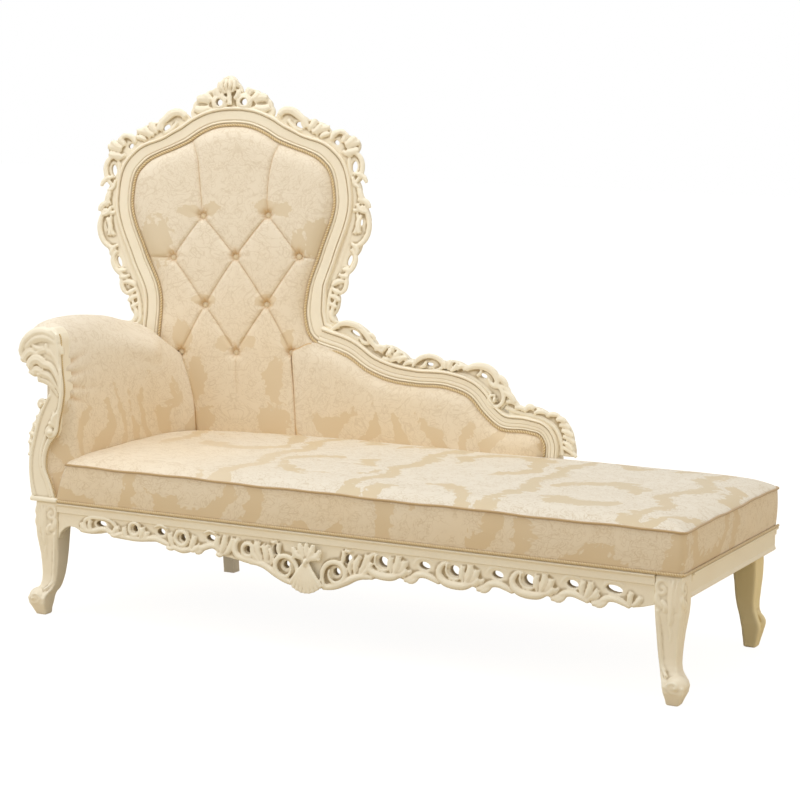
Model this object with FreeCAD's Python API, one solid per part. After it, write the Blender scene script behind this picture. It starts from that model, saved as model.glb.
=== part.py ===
"""A carved one-armed chaise longue: painted hardwood frame, tufted back, long fixed seat.

All sizes are millimetres.  The building frame has X along the front rail from the head
end to the foot end, Y from the front rail to the back, Z up from the floor.  When a piece
is written it is moved so that the origin lies on the floor under the middle of the whole.
"""
import FreeCAD
import Part
import math
import os

# Driving dimensions of the seat frame
LENGTH = 1650.0
DEPTH = 650.0
RAIL_TOP = 281.0
RAIL_BOTTOM = 225.0
RAIL_THICK = 30.0
FRONT_RAIL_BOTTOM = 258.0
LEG_BLOCK = 62.0
APRON_THICK = 28.0

# Driving dimensions of the back: a cartouche on a plane that is turned, raked and leant
BACK_X = 207.0
BACK_Y = 586.0
BACK_Z = 380.0
BACK_TURN = 12.0
BACK_RAKE = 5.0
BACK_LEAN = 2.45
BACK_THICK = 24.0
MOULD_WIDTH = 43.0

# Driving dimensions of the wing that slopes down from the back, and of the arm
WING_FACE = 650.0
WING_THICK = 32.0
WING_MOULD_WIDTH = 36.0
ARM_POST_FRONT = -6.0
ARM_POST_BACK = 38.0

# Driving dimensions of the upholstery
PIPING_HEIGHT = 376.0
SEAT_CROWN = 22.0
PIPING_RADIUS = 3.5
BACK_CROWN = 26.0
TUFT_DEPTH = 15.0
BUTTON_RADIUS = 9.0
TUFT_SHIFT = 12.0
BUTTON_ROWS = ((568.0, (-88.0, 88.0)), (462.0, (-170.0, 0.0, 170.0)),
               (339.0, (-83.0, 83.0)), (216.0, (-150.0, 0.0, 150.0)))
GAP = 0.3

# How many chords stand for an arc in the soft pieces, the braid and the fine carving
PAD_CHORDS = 2
BRAID_CHORDS = 3
LOBE_CHORDS = 4

# The inner edge of the cartouche, right half, from the top of the arch to the foot
CREST_HALF = ((0.0, 804.0), (88.0, 788.0), (165.0, 748.0), (253.0, 698.0))
STILE_HALF = ((253.0, 698.0), (278.0, 618.0), (240.0, 473.0), (203.0, 378.0), (209.0, 240.0))
# The line along the top of the wing's padding, from the back's foot to the low end
WING_LINE = ((418.0, 624.0), (507.0, 594.0), (659.0, 547.0), (774.0, 545.0), (884.0, 490.0),
             (938.0, 453.0), (1031.0, 445.0), (1056.0, 420.0), (1056.0, 392.0))


def vec(x, y, z):
    return FreeCAD.Vector(x, y, z)


def box(x0, x1, y0, y1, z0, z1):
    """A box between two values on each axis."""
    return Part.makeBox(x1 - x0, y1 - y0, z1 - z0, vec(x0, y0, z0))


def mirrored(shape):
    """The shape on the other side of the plane X = 0."""
    return shape.mirror(vec(0, 0, 0), vec(1, 0, 0))


def unit(a, b):
    size = math.hypot(a, b)
    return (a / size, b / size)


def arc_edge(start, end, heading):
    """One edge in the XZ plane that leaves start along heading and ends at end."""
    da = end[0] - start[0]
    db = end[1] - start[1]
    chord = math.hypot(da, db)
    turn = math.atan2(heading[0] * db - heading[1] * da, heading[0] * da + heading[1] * db)
    a = vec(start[0], 0, start[1])
    b = vec(end[0], 0, end[1])
    if abs(turn) < 0.004:
        return Part.LineSegment(a, b).toShape()
    rise = 0.5 * math.tan(turn / 2)
    middle = vec((start[0] + end[0]) / 2 + db * rise, 0, (start[1] + end[1]) / 2 - da * rise)
    if chord < 0.01:
        return Part.LineSegment(a, b).toShape()
    return Part.Arc(a, middle, b).toShape()


def reflected(heading, p, q):
    """The heading at the other end of an arc over the chord from p to q."""
    chord = unit(q[0] - p[0], q[1] - p[1])
    along = heading[0] * chord[0] + heading[1] * chord[1]
    return (2 * along * chord[0] - heading[0], 2 * along * chord[1] - heading[1])


def headings(points, first=None, last=None):
    """The direction of a smooth curve at each of its points."""
    chords = [unit(q[0] - p[0], q[1] - p[1]) for p, q in zip(points, points[1:])]
    spans = [math.dist(p, q) for p, q in zip(points, points[1:])]
    middle = []
    for before, after, s0, s1 in zip(chords, chords[1:], spans, spans[1:]):
        middle.append(unit(before[0] * s1 + after[0] * s0, before[1] * s1 + after[1] * s0))
    start = first or reflected(middle[0], points[0], points[1])
    end = last or reflected(middle[-1], points[-2], points[-1])
    return [start] + middle + [end]


def aside(point, heading, out):
    """The point moved to the left of its heading."""
    return (point[0] - heading[1] * out, point[1] + heading[0] * out)


def smooth_edges(points, first=None, last=None, out=0.0):
    """Tangent arcs, two to each span, that run beside the points at the distance out."""
    ways = headings(points, first, last)
    edges = []
    for p, q, t, u in zip(points, points[1:], ways, ways[1:]):
        va, vb = q[0] - p[0], q[1] - p[1]
        vt = va * (t[0] + u[0]) + vb * (t[1] + u[1])
        slack = 2 * (1 - t[0] * u[0] - t[1] * u[1])
        if slack < 1e-6:
            reach = (va * va + vb * vb) / (2 * vt)
        else:
            reach = (-vt + math.sqrt(vt * vt + slack * (va * va + vb * vb))) / slack
        join = ((p[0] + reach * t[0] + q[0] - reach * u[0]) / 2,
                (p[1] + reach * t[1] + q[1] - reach * u[1]) / 2)
        turn = reflected(t, p, join)
        near, far = aside(join, turn, out), aside(q, u, out)
        edges.append(arc_edge(aside(p, t, out), near, t))
        edges.append(arc_edge(near, far, turn))
    return edges


def path_ends(points, first=None, last=None, out=0.0):
    """Where such a run of arcs begins and ends."""
    ways = headings(points, first, last)
    return aside(points[0], ways[0], out), aside(points[-1], ways[-1], out)


def straight_edges(points):
    return [Part.LineSegment(vec(p[0], 0, p[1]), vec(q[0], 0, q[1])).toShape()
            for p, q in zip(points, points[1:])]


def lobed_edges(points, bulge):
    """A scalloped edge: an arc stands out to the left of every step."""
    edges = []
    for p, q in zip(points, points[1:]):
        da, db = q[0] - p[0], q[1] - p[1]
        middle = vec((p[0] + q[0]) / 2 - db * bulge, 0, (p[1] + q[1]) / 2 + da * bulge)
        edges.append(Part.Arc(vec(p[0], 0, p[1]), middle, vec(q[0], 0, q[1])).toShape())
    return edges


def board(edges, y0, y1):
    """A board between two depths whose outline is a closed run of edges in the XZ plane."""
    wire = Part.Wire(Part.__sortEdges__(edges))
    face = Part.Face(wire)
    solid = face.extrude(vec(0, y1 - y0, 0))
    solid.translate(vec(0, y0, 0))
    return solid


def chord_points(edges, count):
    """Points along a run of edges, with each arc taken as so many chords."""
    spots = []
    for edge in edges:
        steps = 1 if isinstance(edge.Curve, Part.Line) else count
        first, last = edge.FirstParameter, edge.LastParameter
        spots += [edge.valueAt(first + (last - first) * i / steps) for i in range(steps)]
    return spots + [edges[-1].valueAt(edges[-1].LastParameter)]


def plate(corners, y0, y1):
    """A board between two depths with straight steps between the corners of its outline."""
    face = Part.Face(Part.makePolygon(corners + corners[:1]))
    solid = face.extrude(vec(0, y1 - y0, 0))
    solid.translate(vec(0, y0, 0))
    return solid


def flat_faces(a, b, c, d):
    """The face on four corners, as two triangles where they don't lie in one plane."""
    across = (b - a).cross(d - a).normalize()
    if abs((c - a).dot(across)) < 1e-6:
        return [Part.Face(Part.makePolygon([a, b, c, d, a]))]
    return [Part.Face(Part.makePolygon([a, b, c, a])), Part.Face(Part.makePolygon([a, c, d, a]))]


def faceted(rings):
    """A solid of flat faces through rings of corners that match one to one."""
    faces = [Part.Face(Part.makePolygon(ring + ring[:1])) for ring in (rings[0], rings[-1])]
    for low, high in zip(rings, rings[1:]):
        for i in range(len(low)):
            faces += flat_faces(low[i - 1], low[i], high[i], high[i - 1])
    solid = Part.Solid(Part.Shell(faces))
    if solid.Volume < 0:
        solid.reverse()
    return solid


LEAF_SHOULDER = 0.45


def leaf_hole(x, z, half_x, half_z, tilt=0.0, y0=-40.0, y1=60.0):
    """A straight bore along Y with a leaf's plan: pointed ends and flat shoulders."""
    if half_z > half_x:
        half_x, half_z = half_z, half_x
        tilt += 90
    shoulder = half_x * LEAF_SHOULDER
    plan = ((-half_x, 0), (-shoulder, half_z), (shoulder, half_z), (half_x, 0),
            (shoulder, -half_z), (-shoulder, -half_z))
    face = Part.Face(Part.makePolygon([vec(a, 0, b) for a, b in plan + plan[:1]]))
    solid = face.extrude(vec(0, y1 - y0, 0))
    solid.rotate(vec(0, 0, 0), vec(0, 1, 0), tilt)
    solid.translate(vec(x, y0, z))
    return solid


def band(points, first, last, inner, outer, y0, y1):
    """A flat strip between two distances from a smooth path."""
    near, far = (chord_points(smooth_edges(points, first, last, out), BRAID_CHORDS)
                 for out in (inner, outer))
    return plate(near + far[::-1], y0, y1)


def within(points, first, last, out, close):
    """A deep block that holds all between a smooth path and the closing points."""
    start, end = path_ends(points, first, last, out)
    edges = smooth_edges(points, first, last, out)
    return board(edges + straight_edges((end,) + close + (start,)), -80, 80)


def moulding(path_edges, start, heading, section, side):
    """A section of (distance from the path, depth) points swept along a flat path."""
    across = (-heading[1] * side, heading[0] * side)
    corners = [vec(start[0] + across[0] * t, y, start[1] + across[1] * t) for t, y in section]
    profile = Part.makePolygon(corners + corners[:1])
    return Part.Wire(path_edges).makePipeShell([profile], True, False)


def on_back(shape):
    """From the back's own plane to its place: leant, raked, turned and moved."""
    placed = shape.copy()
    placed.rotate(vec(0, 0, 0), vec(0, 1, 0), -BACK_LEAN)
    placed.rotate(vec(0, 0, 0), vec(1, 0, 0), -BACK_RAKE)
    placed.rotate(vec(0, 0, 0), vec(0, 0, 1), BACK_TURN)
    placed.translate(vec(BACK_X, BACK_Y, BACK_Z))
    return placed


def turned(shape):
    """From the head end's plan, which is turned with the back, to its place."""
    placed = shape.copy()
    placed.rotate(vec(0, 0, 0), vec(0, 0, 1), BACK_TURN)
    placed.translate(vec(BACK_X, BACK_Y, 0))
    return placed


PARTS = {}


def keep(name, *solids):
    """Holds the solids of one named piece until all are written."""
    found = []
    for shape in solids:
        found.extend(shape.Solids)
    PARTS[name] = found


def longest(shape):
    """The biggest of the solids that a cut has left."""
    return max(shape.Solids, key=lambda solid: solid.Volume)


def cut_by(shape, *names):
    """The shape less every solid of the named pieces."""
    tools = [solid for name in names for solid in PARTS[name]]
    return shape.cut(tools)


# Legs and their blocks

LEG_CORNER = 0.24


def ring(x, y, z, size):
    """The corners of a square section with cut corners, at height z."""
    half = size / 2
    flat = half - size * LEG_CORNER
    eighth = ((half, -flat), (half, flat), (flat, half), (-flat, half),
              (-half, flat), (-half, -flat), (-flat, -half), (flat, -half))
    return [vec(x + a, y + b, z) for a, b in eighth]


def cabriole(x, y, out_x, out_y, stations):
    """A leg through like sections, so that every face between two of them is flat."""
    return faceted([ring(x + out_x * lead, y + out_y * lead, z, size)
                    for z, lead, size in stations])


# Height, how far the section leads outwards, and its width, from the knee to the sole
FRONT_LEG = ((RAIL_BOTTOM, 0.0, 60.0), (214.0, 4.0, 64.0), (203.0, 7.0, 66.0), (188.0, 6.5, 63.0),
             (172.0, 4.0, 58.0), (150.0, 0.0, 52.0), (128.0, -4.0, 47.0), (106.0, -6.0, 44.0),
             (84.0, -6.0, 42.0), (70.0, -3.0, 42.0), (58.0, 2.0, 43.0), (48.0, 7.0, 46.0),
             (38.0, 12.0, 50.0), (29.0, 14.0, 48.0), (20.0, 14.0, 44.0), (5.0, 12.0, 34.0),
             (0.0, 12.0, 33.0))
REAR_LEG = ((RAIL_BOTTOM, 0.0, 60.0), (203.0, 1.0, 62.0), (180.0, 1.0, 61.0), (155.0, 0.0, 56.0),
            (130.0, -1.0, 50.0), (108.0, -1.5, 45.0), (86.0, -1.0, 42.0), (70.0, 2.0, 43.0),
            (56.0, 6.0, 46.0), (42.0, 10.0, 47.0), (30.0, 12.0, 46.0), (6.0, 12.0, 34.0),
            (0.0, 12.0, 33.0))
REAR_LEG_INSET = 18.0
STUB_LEG_X = 158.0
STUB_LEG_WIDTH = 30.0
STUB_LEG_RAKE = 30.0

HALF_BLOCK = LEG_BLOCK / 2
for node, leg_x, out_x in (("front_left_leg", HALF_BLOCK, -1.0),
                           ("front_right_leg", LENGTH - HALF_BLOCK, 1.0)):
    block = box(leg_x - HALF_BLOCK, leg_x + HALF_BLOCK, 0, LEG_BLOCK, RAIL_BOTTOM, RAIL_TOP)
    keep(node, block.fuse(cabriole(leg_x, HALF_BLOCK, out_x, -1.0, FRONT_LEG)))

rear_x = LENGTH - REAR_LEG_INSET - HALF_BLOCK
rear_y = DEPTH - RAIL_THICK - HALF_BLOCK
rear_block = box(rear_x - HALF_BLOCK, rear_x + HALF_BLOCK - 12, rear_y - HALF_BLOCK,
                 rear_y + HALF_BLOCK, RAIL_BOTTOM, RAIL_TOP - 19)
keep("rear_right_leg", rear_block.fuse(cabriole(rear_x, rear_y, 1.0, 0.3, REAR_LEG)))


def square(x, y, z, size):
    """The corners of a level square about a point."""
    half = size / 2
    return [vec(x + a, y + b, z) for a, b in ((-half, -half), (half, -half), (half, half),
                                              (-half, half))]


# The plain leg under the back slopes backwards from the back rail to the floor
stub_y = DEPTH - RAIL_THICK / 2
keep("rear_left_leg", faceted([square(STUB_LEG_X, stub_y + STUB_LEG_RAKE, 0, STUB_LEG_WIDTH),
                               square(STUB_LEG_X, stub_y, RAIL_BOTTOM, STUB_LEG_WIDTH)]))

# Seat rails

INNER_X = LENGTH - RAIL_THICK
lip = ((RAIL_THICK, RAIL_TOP), (-3, RAIL_TOP), (-6, RAIL_TOP - 3), (-3, RAIL_TOP - 6),
       (0, RAIL_TOP - 9), (0, FRONT_RAIL_BOTTOM), (RAIL_THICK, FRONT_RAIL_BOTTOM))
front_face = Part.Face(Part.makePolygon([vec(LEG_BLOCK, y, z) for y, z in lip + lip[:1]]))
keep("front_rail", front_face.extrude(vec(LENGTH - 2 * LEG_BLOCK, 0, 0)))

stepped = ((0, RAIL_TOP), (0, RAIL_BOTTOM), (RAIL_THICK - 3, RAIL_BOTTOM),
           (RAIL_THICK, RAIL_BOTTOM + 3), (RAIL_THICK - 2, RAIL_BOTTOM + 9),
           (RAIL_THICK - 3, RAIL_BOTTOM + 11), (RAIL_THICK - 3, RAIL_TOP - 20),
           (RAIL_THICK, RAIL_TOP - 18), (RAIL_THICK, RAIL_TOP - 8), (RAIL_THICK + 5, RAIL_TOP - 4),
           (RAIL_THICK + 5, RAIL_TOP))
end_face = Part.Face(Part.makePolygon([vec(INNER_X + x, LEG_BLOCK, z)
                                       for x, z in stepped + stepped[:1]]))
keep("end_rail", end_face.extrude(vec(0, DEPTH - LEG_BLOCK, 0)))

HEAD_RAIL_S = (-280.0, -249.0)
BACK_RAIL_LEFT = -118.0
head_beam = turned(box(HEAD_RAIL_S[0], HEAD_RAIL_S[1], -700, 90, RAIL_BOTTOM, RAIL_TOP))
head_beam = head_beam.common(box(-200, LENGTH, LEG_BLOCK - 20, DEPTH - RAIL_THICK, 0, RAIL_TOP))
keep("head_rail", cut_by(head_beam, "front_left_leg"))
keep("back_rail", box(BACK_RAIL_LEFT, INNER_X, DEPTH - RAIL_THICK, DEPTH, RAIL_BOTTOM, RAIL_TOP))

BEARER_XS = (420.0, 830.0, 1240.0)
BEARER_WIDTH = 45.0
bearers = [box(x - BEARER_WIDTH / 2, x + BEARER_WIDTH / 2, RAIL_THICK, DEPTH - RAIL_THICK,
               FRONT_RAIL_BOTTOM, RAIL_TOP - 3) for x in BEARER_XS]
keep("seat_bearers", *bearers)


def corner_block(x, y, dx, dy, slant=0.0):
    """A glued triangular block in a corner of the rails, which may be out of square."""
    points = [vec(x, y, FRONT_RAIL_BOTTOM), vec(x + dx, y, FRONT_RAIL_BOTTOM),
              vec(x + slant, y + dy, FRONT_RAIL_BOTTOM)]
    face = Part.Face(Part.makePolygon(points + points[:1]))
    return face.extrude(vec(0, 0, RAIL_TOP - 5 - FRONT_RAIL_BOTTOM))


def head_rail_x(y):
    """Where the inner face of the turned head rail stands at a depth y."""
    turn = math.radians(BACK_TURN)
    deep = (y - BACK_Y - HEAD_RAIL_S[1] * math.sin(turn)) / math.cos(turn)
    return BACK_X + HEAD_RAIL_S[1] * math.cos(turn) - deep * math.sin(turn)


BLOCK_REACH = 70.0
inner_y = DEPTH - RAIL_THICK
head_slant = head_rail_x(inner_y - BLOCK_REACH) - head_rail_x(inner_y)
blocks = [corner_block(LEG_BLOCK, RAIL_THICK, BLOCK_REACH, BLOCK_REACH),
          corner_block(LENGTH - LEG_BLOCK, RAIL_THICK, -BLOCK_REACH, BLOCK_REACH),
          corner_block(rear_x - HALF_BLOCK, DEPTH - RAIL_THICK, -BLOCK_REACH, -BLOCK_REACH),
          corner_block(head_rail_x(inner_y), inner_y, BLOCK_REACH, -BLOCK_REACH, head_slant)]
keep("corner_blocks", *blocks)

# The pierced apron under the front rail, with a shell at its middle

APRON_TOP = FRONT_RAIL_BOTTOM
UNIT_LENGTH = 181.0
FIRST_TIP = 1001.0


def apron_unit(x):
    """Lower edge of one repeat: a leaf tip, a small arch, then a hanging scroll."""
    return [((x, 198), (x + 12, 207), 0.2), ((x + 12, 207), (x + 58, 204), 0.28),
            ((x + 58, 204), (x + 72, 203), -0.3), ((x + 72, 203), (x + 168, 206), -0.13),
            ((x + 168, 206), (x + UNIT_LENGTH, 198), 0.2)]


def lower_edge(steps):
    """Arcs between points; a positive bulge rises, a negative one hangs."""
    edges = []
    for p, q, bulge in steps:
        edges.extend(lobed_edges((p, q), bulge))
    return edges


left_steps = [((LEG_BLOCK, 206), (108, 222), 0.2), ((108, 222), (203, 224), 0.06),
              ((203, 224), (236, 212), -0.1), ((236, 212), (300, 212), -0.1),
              ((300, 212), (352, 216), 0.08), ((352, 216), (384, 209), -0.3),
              ((384, 209), (452, 205), -0.12), ((452, 205), (470, 202), -0.4),
              ((470, 202), (500, 214), 0.15), ((500, 214), (524, 199), 0.1),
              ((524, 199), (640, 195), -0.12)]
middle_steps = [((640, 195), (704, 152), -0.25), ((704, 152), (722, 147), -0.3),
                ((722, 147), (774, 148), -0.22), ((774, 148), (812, 166), -0.12),
                ((812, 166), (876, 191), 0.12), ((876, 191), (906, 192), -0.1),
                ((906, 192), (FIRST_TIP - 16, 199), -0.2),
                ((FIRST_TIP - 16, 199), (FIRST_TIP, 198), -0.5)]
right_steps = []
for repeat in range(3):
    right_steps += apron_unit(FIRST_TIP + repeat * UNIT_LENGTH)
last_tip = FIRST_TIP + 3 * UNIT_LENGTH
right_steps.append(((last_tip, 198), (LENGTH - LEG_BLOCK, 216), 0.15))
apron_edges = lower_edge(left_steps + middle_steps + right_steps)
apron_corners = chord_points(apron_edges, LOBE_CHORDS)
apron_corners += [vec(LENGTH - LEG_BLOCK, 0, APRON_TOP), vec(LEG_BLOCK, 0, APRON_TOP)]
apron = plate(apron_corners, 0, APRON_THICK)
APRON_HOLES = [(186, 240, 20, 8), (292, 240, 11, 6), (356, 240, 11, 6), (426, 236, 6, 11),
               (497, 240, 16, 6), (666, 232, 7, 13), (694, 200, 15, 9), (822, 197, 13, 8),
               (853, 228, 8, 14), (943, 230, 15, 9)]
for repeat in range(3):
    tip = FIRST_TIP + repeat * UNIT_LENGTH
    APRON_HOLES += [(tip + 38, 236, 15, 8), (tip + 116, 232, 16, 9)]
APRON_HOLES.append((1578, 238, 4, 8))
apron = apron.cut([leaf_hole(*hole) for hole in APRON_HOLES])
keep("front_apron", apron)

SHELL_X = 748.0
SHELL_ROOT_Z = 222.0
SHELL_RIBS = 7
SHELL_RIB_SWING = 16.0
RIB_LENGTH = 64.0
RIB_SIDES = 6


def rib_ring(radius, down):
    """The corners of a regular polygon round the axis of a rib."""
    turns = [2 * math.pi * i / RIB_SIDES for i in range(RIB_SIDES)]
    return [vec(radius * math.cos(a), radius * math.sin(a), -down) for a in turns]


ribs = []
for i in range(SHELL_RIBS):
    swing = (i - (SHELL_RIBS - 1) / 2) * SHELL_RIB_SWING
    rib = faceted([rib_ring(4, 0), rib_ring(11, RIB_LENGTH * 0.85), rib_ring(7, RIB_LENGTH)])
    rib.rotate(vec(0, 0, 0), vec(0, 1, 0), swing)
    rib.translate(vec(SHELL_X, -1, SHELL_ROOT_Z))
    ribs.append(rib)
shell = ribs[0].multiFuse(ribs[1:])
shell = shell.common(box(SHELL_X - 90, SHELL_X + 90, -20, 0, 140, APRON_TOP))
keep("apron_shell", shell)

# The cartouche: two moulded stiles and a moulded crest around the tufted back

SECTION = ((0, BACK_THICK), (0, -4), (5, -8), (11, -1), (25, 0), (34, -10), (MOULD_WIDTH, -4),
           (MOULD_WIDTH, BACK_THICK))
DOWN = unit(STILE_HALF[-1][0] - STILE_HALF[-2][0], STILE_HALF[-1][1] - STILE_HALF[-2][1])
joint_way = unit(CREST_HALF[-1][0] - CREST_HALF[-2][0] + 12,
                 CREST_HALF[-1][1] - CREST_HALF[-2][1] - 14)

left_crest = [(-a, b) for a, b in reversed(CREST_HALF[1:])]
crest_points = left_crest + list(CREST_HALF)
crest_start_way = (joint_way[0], -joint_way[1])
crest_path = smooth_edges(crest_points, crest_start_way, joint_way)
crest_rail = moulding(crest_path, crest_points[0], crest_start_way, SECTION, 1)
DOWEL_RADIUS = 4.0
DOWEL_LENGTH = 24.0
DOWEL_DEPTH = 11.0
DOWEL_OUT = 18.0
joint_spot = aside(CREST_HALF[-1], joint_way, DOWEL_OUT)
start = (joint_spot[0] - joint_way[0] * DOWEL_LENGTH / 2,
         joint_spot[1] - joint_way[1] * DOWEL_LENGTH / 2)
dowel = Part.makeCylinder(DOWEL_RADIUS, DOWEL_LENGTH, vec(start[0], DOWEL_DEPTH, start[1]),
                          vec(joint_way[0], 0, joint_way[1]))
keep("crest_dowels", on_back(dowel), on_back(mirrored(dowel)))
keep("crest_rail", cut_by(on_back(crest_rail), "crest_dowels"))

stile_path = smooth_edges(STILE_HALF, joint_way, DOWN)
stile = moulding(stile_path, STILE_HALF[0], joint_way, SECTION, 1)
FOOT_INNER = 206.0
FOOT_OUTER = 248.0
FOOT_TOP = 262.0
stile_foot = box(FOOT_INNER, FOOT_OUTER, 0, BACK_THICK, -170, FOOT_TOP)
stile = stile.fuse(stile_foot)
rails_below = box(-400, 800, 0, 1200, 0, RAIL_TOP)
keep("back_right_stile", cut_by(on_back(stile).cut(rails_below), "crest_dowels"))
below_frame = box(-400, 800, 0, 1200, 0, RAIL_BOTTOM)
keep("back_left_stile",
     longest(cut_by(on_back(mirrored(stile)).cut(below_frame), "head_rail", "crest_dowels")))
TACK_RAIL = (-40.0, 5.0)
keep("back_tack_rail",
     cut_by(on_back(box(-FOOT_INNER, FOOT_INNER, 0, BACK_THICK - 2, TACK_RAIL[0], TACK_RAIL[1])),
            "back_left_stile", "back_right_stile"))

# Pierced foliage round the outside of the cartouche, in seven pieces

CARVING_FRONT = -7.0
CARVING_BACK = 14.0
LOBE = 0.22


def lobed_corners(lobes, inner):
    """An outline with a scalloped outer edge and straight steps inside."""
    return chord_points(lobed_edges(lobes, LOBE), LOBE_CHORDS) + [vec(a, 0, b) for a, b in inner]


def carving(lobes, inner, holes, front=CARVING_FRONT):
    """A pierced strip: lobes outside, and an inner edge that ends under the moulding."""
    strip = plate(lobed_corners(lobes, inner), front, CARVING_BACK)
    return strip.cut([leaf_hole(*hole) for hole in holes])


right_inside = [within(crest_points, crest_start_way, joint_way, MOULD_WIDTH, ((0, 500),)),
                within(STILE_HALF, joint_way, DOWN, MOULD_WIDTH, ((0, 238), (0, 698)))]
half_crest = ((108, 828), (114, 858), (84, 874), (53, 888), (26, 899), (0, 929))
crest_lobes = tuple((-a, b) for a, b in half_crest) + tuple(reversed(half_crest[:-1]))
crest_carving = carving(crest_lobes, ((96, 806), (0, 824), (-96, 806)),
                        ((-32, 861, 8, 5, -30), (32, 861, 8, 5, 30)))
keep("crest_carving", longest(on_back(crest_carving.cut(right_inside[0]))))

SIDE_CARVINGS = (
    ("shoulder", ((126, 824), (156, 842), (188, 829), (222, 810), (262, 792)),
     ((250, 728), (190, 770), (140, 800)), ((178, 797, 11, 7, 28), (236, 781, 5, 4, 30))),
    ("corner", ((262, 792), (290, 778), (318, 768), (342, 752), (344, 722), (351, 690),
                (352, 655)),
     ((292, 648), (286, 690), (262, 720)), ((283, 750, 8, 6, 30), (327, 686, 7, 13, 10))),
    ("side", ((352, 655), (363, 592), (368, 532), (337, 468), (313, 425), (305, 388),
              (289, 342), (265, 292)),
     ((228, 296), (228, 380), (266, 476), (297, 560), (292, 648)),
     ((340, 556, 6, 14, 5), (296, 412, 6, 13, 25), (272, 352, 4, 8, 10))))
for place, lobes, inner, holes in SIDE_CARVINGS:
    piece = carving(lobes, inner, holes)
    piece = longest(piece.cut(right_inside))
    keep("right_" + place + "_carving", on_back(piece))
    keep("left_" + place + "_carving", on_back(mirrored(piece)))

# The wing: a moulded rail that slopes down from the back, its carving and its posts

WING_SECTION = ((0, WING_THICK), (0, -3), (5, -6), (10, 0), (21, 0), (28, -6),
                (WING_MOULD_WIDTH, -2), (WING_MOULD_WIDTH, WING_THICK))


def at_wing(shape):
    placed = shape.copy()
    placed.translate(vec(0, WING_FACE, 0))
    return placed


wing_way = unit(WING_LINE[1][0] - WING_LINE[0][0], WING_LINE[1][1] - WING_LINE[0][1])
wing_path = smooth_edges(WING_LINE, wing_way, (0.0, -1.0))
wing_rail = at_wing(moulding(wing_path, WING_LINE[0], wing_way, WING_SECTION, 1))
keep("wing_rail", cut_by(wing_rail, "back_right_stile", "right_side_carving"))
WING_END_X = WING_LINE[-1][0]
keep("wing_end_post",
     box(WING_END_X, WING_END_X + WING_MOULD_WIDTH, WING_FACE, WING_FACE + WING_THICK,
         RAIL_BOTTOM, WING_LINE[-1][1]))
keep("wing_tack_rail",
     cut_by(box(390, WING_END_X, WING_FACE, WING_FACE + WING_THICK, RAIL_BOTTOM, 300),
            "back_right_stile"))
WING_CARVINGS = (
    ("wing_upper_carving",
     ((452, 668), (476, 692), (528, 678), (578, 653), (632, 638), (668, 612), (722, 600)),
     ((722, 572), (640, 572), (540, 604), (470, 626)),
     ((523, 665, 12, 6, -25), (604, 629, 5, 4), (682, 598, 6, 4))),
    ("wing_middle_carving",
     ((722, 600), (760, 606), (796, 610), (834, 602), (876, 604), (914, 592), (946, 566),
      (966, 538), (954, 508)),
     ((926, 480), (880, 520), (820, 562), (740, 572)),
     ((742, 597, 7, 4), (881, 579, 9, 5, 20), (925, 545, 5, 4))),
    ("wing_end_carving",
     ((954, 508), (1014, 512), (1060, 508), (1098, 492), (1124, 466), (1134, 430), (1141, 397)),
     ((1080, 397), (1078, 450), (1050, 470), (960, 476)),
     ((1106, 462, 4, 6), (1116, 428, 4, 7))))
wing_inside = within(WING_LINE, wing_way, (0.0, -1.0), WING_MOULD_WIDTH, ((418, 392),))
for node, lobes, inner, holes in WING_CARVINGS:
    strip = carving(lobes, inner, holes, CARVING_FRONT + 2)
    strip = at_wing(strip.cut(wing_inside))
    keep(node, longest(cut_by(strip, "right_side_carving", "back_right_stile")))

# The arm: a carved front post with a volute, and the rails behind it

post_outer = ((-4, RAIL_TOP), (-14, 370), (12, 490), (36, 562), (-20, 607), (-47, 642),
              (-8, 700), (56, 713))
post_inner = ((56, 713), (78, 570), (36, 385), (60, RAIL_TOP))
post = board(smooth_edges(post_outer) + smooth_edges(post_inner)
             + straight_edges((post_inner[-1], post_outer[0])), ARM_POST_FRONT, ARM_POST_BACK)
VOLUTE = (-10.0, 652.0)
volute_steps = ((30.0, 6.0), (14.0, 13.0))
for radius, rise in volute_steps:
    eye = Part.makeCylinder(radius, 8, vec(VOLUTE[0], ARM_POST_FRONT - rise + 8, VOLUTE[1]),
                            vec(0, -1, 0))
    post = post.fuse(eye)
lower_scroll = Part.makeCylinder(13, 10, vec(56, ARM_POST_FRONT + 4, 446), vec(0, -1, 0))
post = post.fuse(lower_scroll)
collar = box(-10, 66, ARM_POST_FRONT - 3, ARM_POST_BACK, RAIL_TOP, RAIL_TOP + 12)
post = post.fuse(collar)
keep("arm_front_post", post)
leaf_strip = plate(lobed_corners(((-14, 345), (-28, 392), (-22, 430), (-14, 466), (2, 500),
                                  (4, 528), (22, 532)),
                                 ((26, 500), (8, 440), (4, 380), (-8, 345))), 0, 20)
leaf_strip = leaf_strip.cut([leaf_hole(-12, 408, 4, 12, 8), leaf_hole(-2, 462, 4, 10, -14)])
keep("arm_leaf_carving", cut_by(leaf_strip, "arm_front_post"))

ARM_BEAM_S = (-272.0, -240.0)
ARM_BEAM_TOP = 610.0


def arm_beam(bottom, top):
    """A rail of the arm, from the back of its post to the left stile."""
    beam = turned(box(ARM_BEAM_S[0], ARM_BEAM_S[1], -700, 60, bottom, top))
    beam = beam.common(box(-300, 400, ARM_POST_BACK, DEPTH, 0, 900))
    return cut_by(beam, "back_left_stile", "left_side_carving")


keep("arm_top_rail", longest(arm_beam(ARM_BEAM_TOP - 45, ARM_BEAM_TOP)))
keep("arm_tack_rail", longest(arm_beam(RAIL_TOP, RAIL_TOP + 40)))

# Webbing, and the cloth under the seat

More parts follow.
